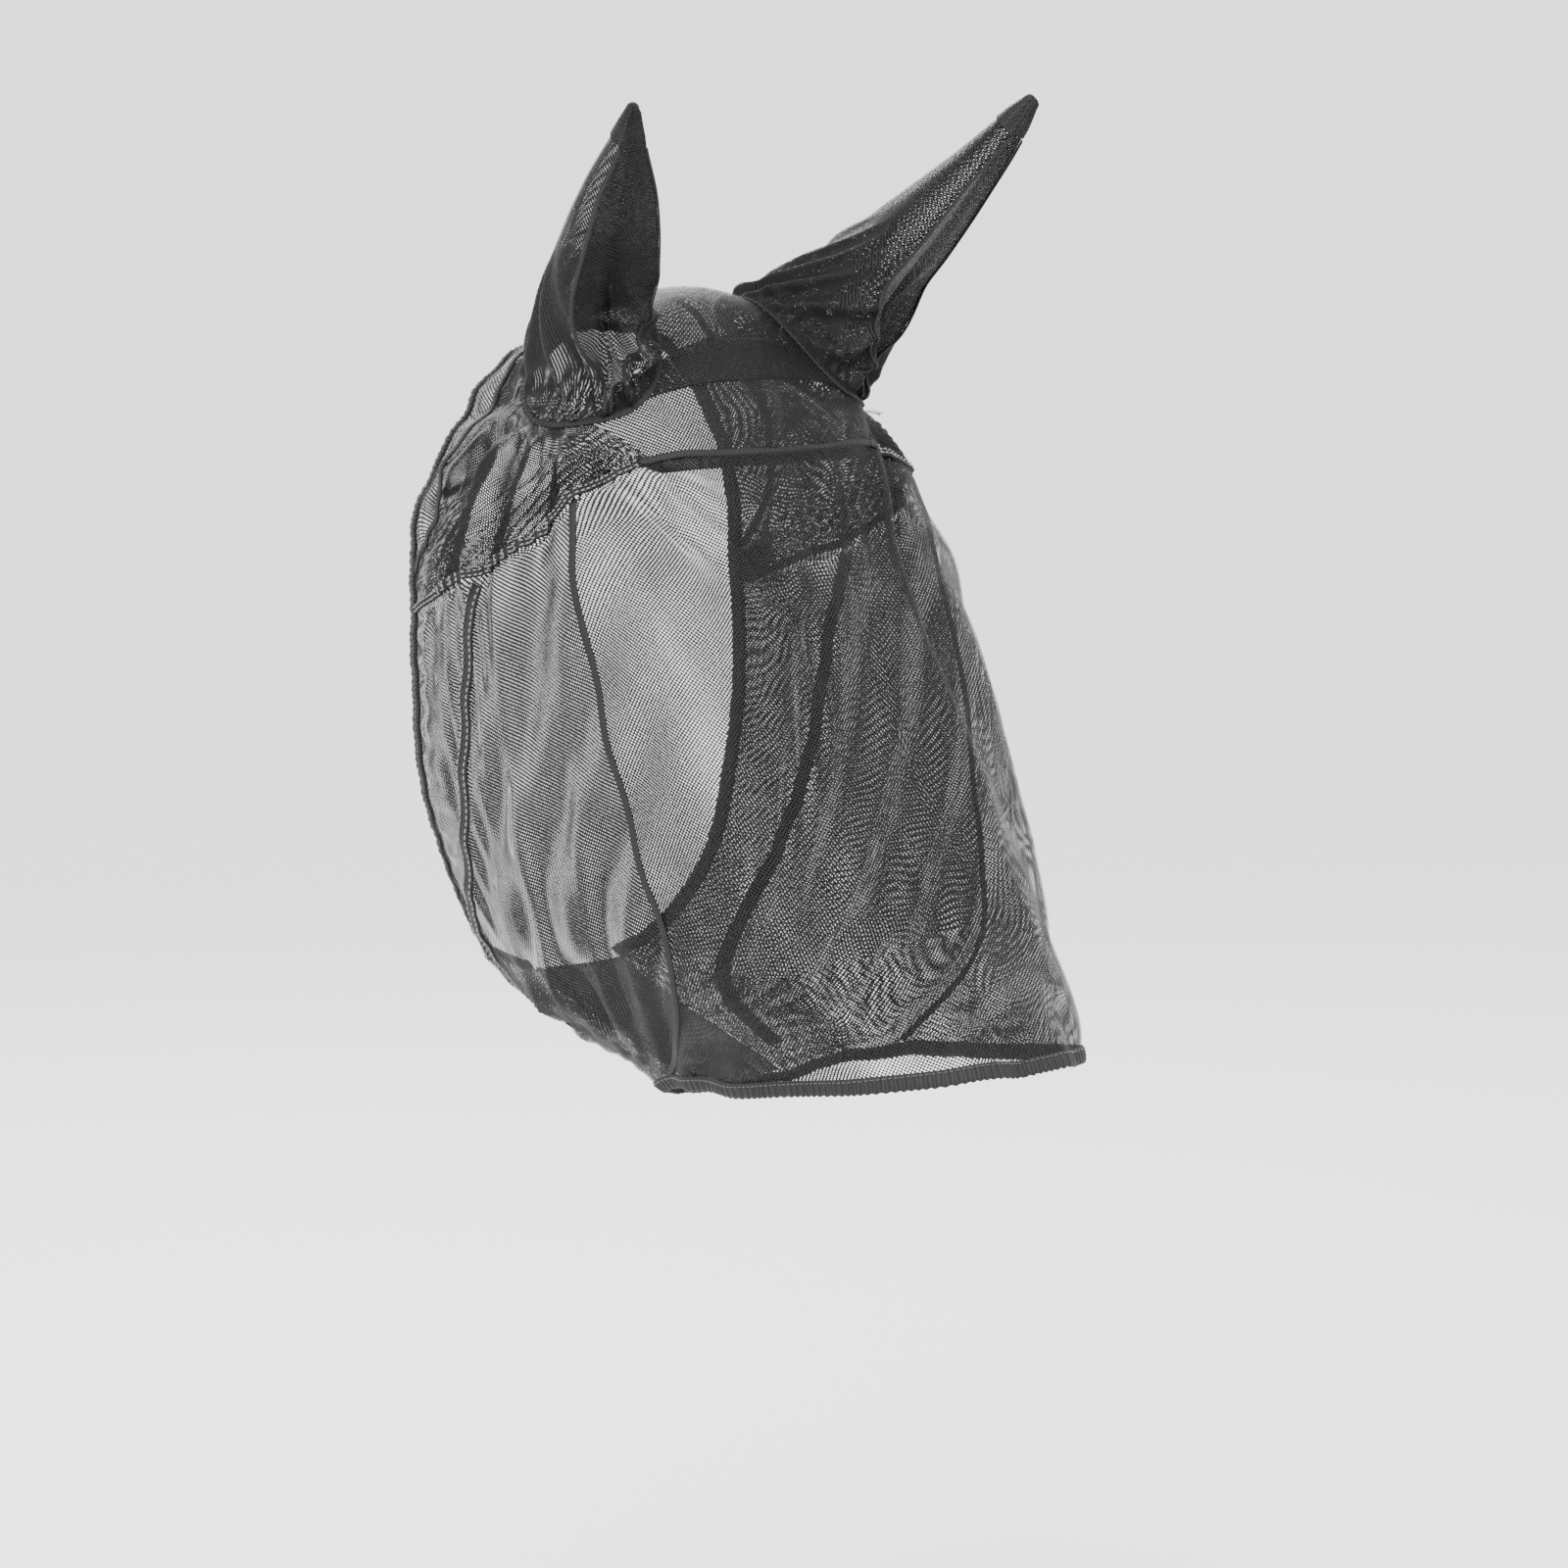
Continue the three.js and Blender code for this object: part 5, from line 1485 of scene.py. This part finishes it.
@dataclass
class Hems(Part):
    """The folded nose and neck hems with the flat elastics inside them.

    Attributes:
        tall, thick: the flattened tube's section.
        tuck: how far the tube reaches over the panels' edge.
        elastic_from, elastic_to: where the elastic lies across the tube.
        elastic_half: half the elastic's thickness.
        stitch_row: how far the stitches are from the panels' edge.
    """

    tall: float = 0.0085
    thick: float = 0.0026
    tuck: float = 0.0006
    elastic_from: float = 0.0017
    elastic_to: float = 0.0068
    elastic_half: float = 0.00035
    stitch_row: float = 0.0009

    def hem(self, name: str, elastic: str, run: Run, away: Array) -> None:
        """Sews one hem: a flattened tube of doubled net, gathered by the elastic it holds, and its stitches.

        The tube reaches from the panels' edge away from them. Its surface is ribbed by a sine of the length.

        Args:
            name, elastic: the pieces' names.
            run: the panels' edge.
            away: a guide point that the hem looks away from.
        """
        sign = 1.0 if np.einsum("ij,ij->", run.across, run.at - away) > 0 else -1.0
        steps = np.concatenate([[0], np.cumsum(np.linalg.norm(np.diff(run.at, axis=0), axis=-1))])
        ribs = np.sin(steps * TURN / 0.0042 + 1.4 * np.sin(steps * TURN / 0.031))[:, None]
        t = np.array([0.0, 0.1, 0.3, 0.55, 0.8, 0.95, 1.0, 0.95, 0.8, 0.55, 0.3, 0.1])
        side = np.array([0.5, 0.85, 1, 1, 0.95, 0.6, 0, -0.6, -0.95, -1, -1, -0.85])
        across = (-self.tuck + t[None] * (self.tall + 0.0004 * ribs)) * sign
        out = side[None] * (self.thick / 2 + 0.00042 * ribs * np.sin(t * math.pi)[None])
        piece = run.bar(name, across, out, self.wardrobe.hem)
        self.keep(piece, "hem", name)
        b = np.array([self.elastic_from, self.elastic_to, self.elastic_to, self.elastic_from]) * sign
        o = np.array([1, 1, -1, -1]) * self.elastic_half
        band = run.bar(elastic, b, o, self.wardrobe.elastic)
        self.keep(band, "elastic", elastic)
        sewn = Stitches(pitch=0.0030, thick=0.00032).sew(
            f"{name}_stitches", run, self.stitch_row * sign, self.thick * 0.47, self.wardrobe.dark_thread)
        self.keep(sewn, "hem")

    def build(self) -> None:
        """Builds both hems."""
        def nose(t: Array) -> Array:
            return FORM.hem(Side.RIGHT, (TURN * np.asarray(t, float)) % TURN)

        self.hem("nose_casing", "nose_elastic", DRAPE.run(nose, 700, closed=True),
                 np.array([0, -0.15, -0.30]))
        throat = CUT.throat_share()
        self.hem("neck_casing", "neck_elastic", DRAPE.run(CUT.across(CUT.neck, throat), 760),
                 np.array([0, -0.06, -0.34]))


@dataclass
class Closure(Part):
    """The overlapping flaps under the jaw with their hook and loop strips.

    Attributes:
        half: half the width of each flap.
        strip_half: half the width of each strip.
        shift: how far each flap's free edge is drawn in.
        start, end: the stretch from the throat to the chin that the layers take up.
        under, loop, hook, over: the height of each layer's outer side over the form.
        sewn: how far the upper flap's root comes down to the cheek.
    """

    half: float = 0.026
    strip_half: float = 0.010
    shift: float = 0.004
    start: float = 0.015
    end: float = 0.985
    under: float = 0.0006
    loop: float = 0.0020
    hook: float = 0.0034
    over: float = 0.0044
    sewn: float = 0.0040

    def layer(self, left: float, right: float, lift: float, sewn: float = 0.0, cols: int = 26) -> Array:
        """A grid of one layer: from the throat to the chin, and across between two distances from the middle.

        Its height is the form's edge at the cheeks, plus a lift, plus a slight rise towards the middle. Where
        it is sewn on at its right, it comes down by that much to the cheek's edge.
        """
        throat, chin = CUT.throat_share(), CUT.chin_turn()
        a = FORM.on(CUT.neck(Side.LEFT)(np.array(throat)))
        b = FORM.on(FORM.hem(Side.LEFT, np.array(chin)))
        t = np.linspace(self.start, self.end, 44)
        edge = FORM.on(a + (b - a) * t[:, None])
        x = np.linspace(left, right, cols)
        way = unit(b - a)
        out = unit(np.array([0, way[2], -way[1]]))
        out = out if out[2] < 0 else -out
        grid = np.zeros((len(t), cols, 3))
        grid[..., 0] = x[None]
        grid[..., 1:] = edge[:, None, 1:]
        crown = 0.0008 * (1 - (x / CUT.throat_half) ** 2)
        wave = 0.0003 * np.sin(t * 23)[:, None] * np.cos(x * 90)[None]
        down = sewn * (1 - smooth(left, left + 0.016, x))
        return grid + out * (lift + crown[None] + wave - down[None])[..., None]

    def piece(self, name: str, grid: Array, material: bpy.types.Material, slot: str, thick: float, held: str,
              rests: str, body: str = "hood", blend: tuple | None = None) -> None:
        made = cloth(name, grid, material, thick=thick, away=np.array([0.0, 0.0, -0.2]))
        self.keep(made, slot, name, body=body, blend=blend)
        self.declare(made, grid, held, rests)

    def build(self) -> None:
        """Builds the closure from the inside out."""
        w = self.wardrobe
        edge, free, strip = CUT.throat_half, self.half - self.shift, self.strip_half
        self.piece("under_flap", self.layer(-free, edge, self.under), w.double_net, "net", 0.0008, "laid",
                   "cheek_panel_left")
        self.piece("loop_strip", self.layer(-strip, strip, self.loop, cols=14), w.loop, "touch_tape", 0.0011,
                   "laid", "under_flap")
        self.piece("hook_strip", self.layer(-strip, strip, self.hook, cols=14), w.hook, "touch_tape", 0.0012,
                   "laid", "loop_strip", body="throat_flap_body")
        over = self.layer(-edge - 0.0006, free, self.over, sewn=self.sewn, cols=44)
        middle = over[len(over) // 2]
        hinge = ("hood", "throat_flap_body", middle[0] + [0.0012, 0, 0], middle[0] + [0.0085, 0, 0])
        self.piece("throat_flap", over, w.double_net, "net", 0.0009, "laid", "hook_strip", blend=hinge)


@dataclass
class Ear(Part):
    """One ear pocket: back, hollow front and doubled tip, its two long seams and the ring at its base.

    Attributes:
        outer_width, inner_width: the widths of the two long seams.
        ring_width, ring_high, ring_gather: the section of the ring and how deep its gathers are.
        tip_turn: the share of the tip's rows at which it starts to close over.
        tip_cap: how far the closed end stands out.
    """

    side: Side = Side.RIGHT
    outer_width: float = 0.0024
    inner_width: float = 0.0017
    ring_width: float = 0.0038
    ring_high: float = 0.0020
    ring_gather: float = 0.0006
    tip_turn: float = 0.72
    tip_cap: float = 0.0032

    def skin(self, name: str, cols: int, front: bool, material: bpy.types.Material, weave: Weave) -> None:
        """Adds a panel of the ear: the leaf-shaped front, or the back that takes up the rest of the turn.

        Angles run in even steps between the leaf's edges, which are its middle less and plus its half angle.
        """
        shape = ear_of(self.side)
        shares = np.linspace(0, shape.tip_share + 0.02, 120)
        share, t = np.meshgrid(shares, np.linspace(-1, 1, cols), indexing="ij")
        half = shape.leaf(share)
        angle = shape.hollow_middle + (half * t if front else math.pi + (math.pi - half) * t)
        grid = shape.point(share, angle)
        middle = shape.section(share)[0]
        piece = cloth(name, grid, material, weave, thick=0.0007, away=middle)
        self.keep(piece, "net", name, blend=shape.blend())
        self.declare(piece, grid, "stretched", "poll_rest")

    def long_seam(self, name: str, edge: int, width: float) -> None:
        """Adds the seam along one edge of the leaf: -1 for the outer and 1 for the inner."""
        shape = ear_of(self.side)
        shares = np.linspace(0.01, shape.tip_share + 0.01, 130)
        at = shape.point(shares, shape.hollow_middle + edge * shape.leaf(shares), 0.0004)
        out = unit(at - shape.section(shares)[0])
        self.seam(name, Run(at, out), width, width / 2, blend=shape.blend())

    def tip(self) -> None:
        """Adds the rounded tip: the last of the pocket, doubled and closed over its end."""
        shape = ear_of(self.side)
        start, rows = shape.tip_share + 0.012, 26
        t = np.linspace(0, 1, rows)
        shares = start + (1.0 - start) * np.minimum(t / self.tip_turn, 1.0)
        cap = np.clip((t - self.tip_turn) / (1 - self.tip_turn), 0, 1)
        angles = np.linspace(0, TURN, 49)
        share, angle = np.meshgrid(shares, angles, indexing="ij")
        full = shape.point(share, angle, 0.0011)
        middle = shape.section(share)[0]
        close = np.cos(cap * math.pi / 2)[:, None, None] * 0.98 + 0.02
        rise = np.sin(cap * math.pi / 2)[:, None, None] * self.tip_cap
        grid = middle + (full - middle) * close + shape.axis * rise
        name = f"ear_tip_{self.side.word}"
        piece = cloth(name, grid, self.wardrobe.double_net, Weave(0.4), thick=0.0005, away=middle)
        self.keep(piece, "net", name, body=f"ear_pocket_{self.side.word}")
        self.declare(piece, grid, "folded", f"ear_back_{self.side.word}")

    def ring(self) -> None:
        """Adds the gathered seam round the ear's base."""
        shape = ear_of(self.side)

        def loop(t: Array) -> Array:
            return shape.ring(TURN * np.asarray(t, float), 0.0004)

        run = DRAPE.run(loop, 300, closed=True, more=0.0003)
        name = f"ear_base_seam_{self.side.word}"
        self.seam(name, run, self.ring_width, self.ring_high, gather=self.ring_gather)

    def build(self) -> None:
        """Builds the ear."""
        word = self.side.word
        self.skin(f"ear_back_{word}", 150, False, self.wardrobe.ear_net, Weave(0.35 * self.side.value, 1.4))
        self.skin(f"ear_front_{word}", 64, True, self.wardrobe.hollow_net, Weave())
        self.tip()
        self.long_seam(f"ear_outer_seam_{word}", -1, self.outer_width)
        self.long_seam(f"ear_inner_seam_{word}", 1, self.inner_width)
        self.ring()


@dataclass
class Label(Part):
    """The small plain woven label that stands out from the seam round the left ear's base.

    Attributes:
        foot: the middle of its sewn edge.
        across: the direction of its width.
        root: how far its sewn end reaches back past the foot.
        length: its whole length.
        half_width: half its width.
        flat: not used. A sheet's sides are declared at 10 mm or more.
    """

    foot: tuple[float, float, float] = (0.0971, -0.0209, -0.0669)
    across: tuple[float, float, float] = (0.451, 0.880, -0.150)
    root: float = 0.0024
    length: float = 0.0112
    half_width: float = 0.0043
    flat: tuple[float, float] = (0.010, 0.0108)

    def build(self) -> None:
        """Builds the label as a doubled strip that curls a little on its way out."""
        low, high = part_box("tag")
        middle = (np.array(low) + np.array(high)) / 2
        foot, across = np.array(self.foot), unit(np.array(self.across))
        out = middle - foot
        out = unit(out - across * (out @ across))
        up = np.cross(out, across)
        v, u = np.meshgrid(np.linspace(0, 1, 22), np.linspace(-1, 1, 14), indexing="ij")
        curl = 0.0012 * np.sin(v * math.pi * 0.9) - 0.0004 * u**2
        grid = (foot - out * self.root + out * (self.length * v)[..., None]
                + across * (self.half_width * u)[..., None] + up * curl[..., None])
        piece = cloth("tag", grid, self.wardrobe.label, thick=0.0008, away=foot - up * 0.1)
        self.keep(piece, "label", "tag", blend=("hood", "label", foot - out * 0.0014, foot + out * 0.0026))


def main() -> None:
    """Builds the studio and the mask in order."""
    logging.basicConfig(level=logging.INFO, format="%(message)s")
    Studio().build()
    wardrobe = Wardrobe()
    for group in (Hood(wardrobe), Mask(wardrobe), Hems(wardrobe), Closure(wardrobe),
                  Ear(wardrobe, side=Side.RIGHT), Ear(wardrobe, side=Side.LEFT), Label(wardrobe)):
        group.build()
        LOG.info("built %s", type(group).__name__)
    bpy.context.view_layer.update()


if __name__ == "__main__":
    main()
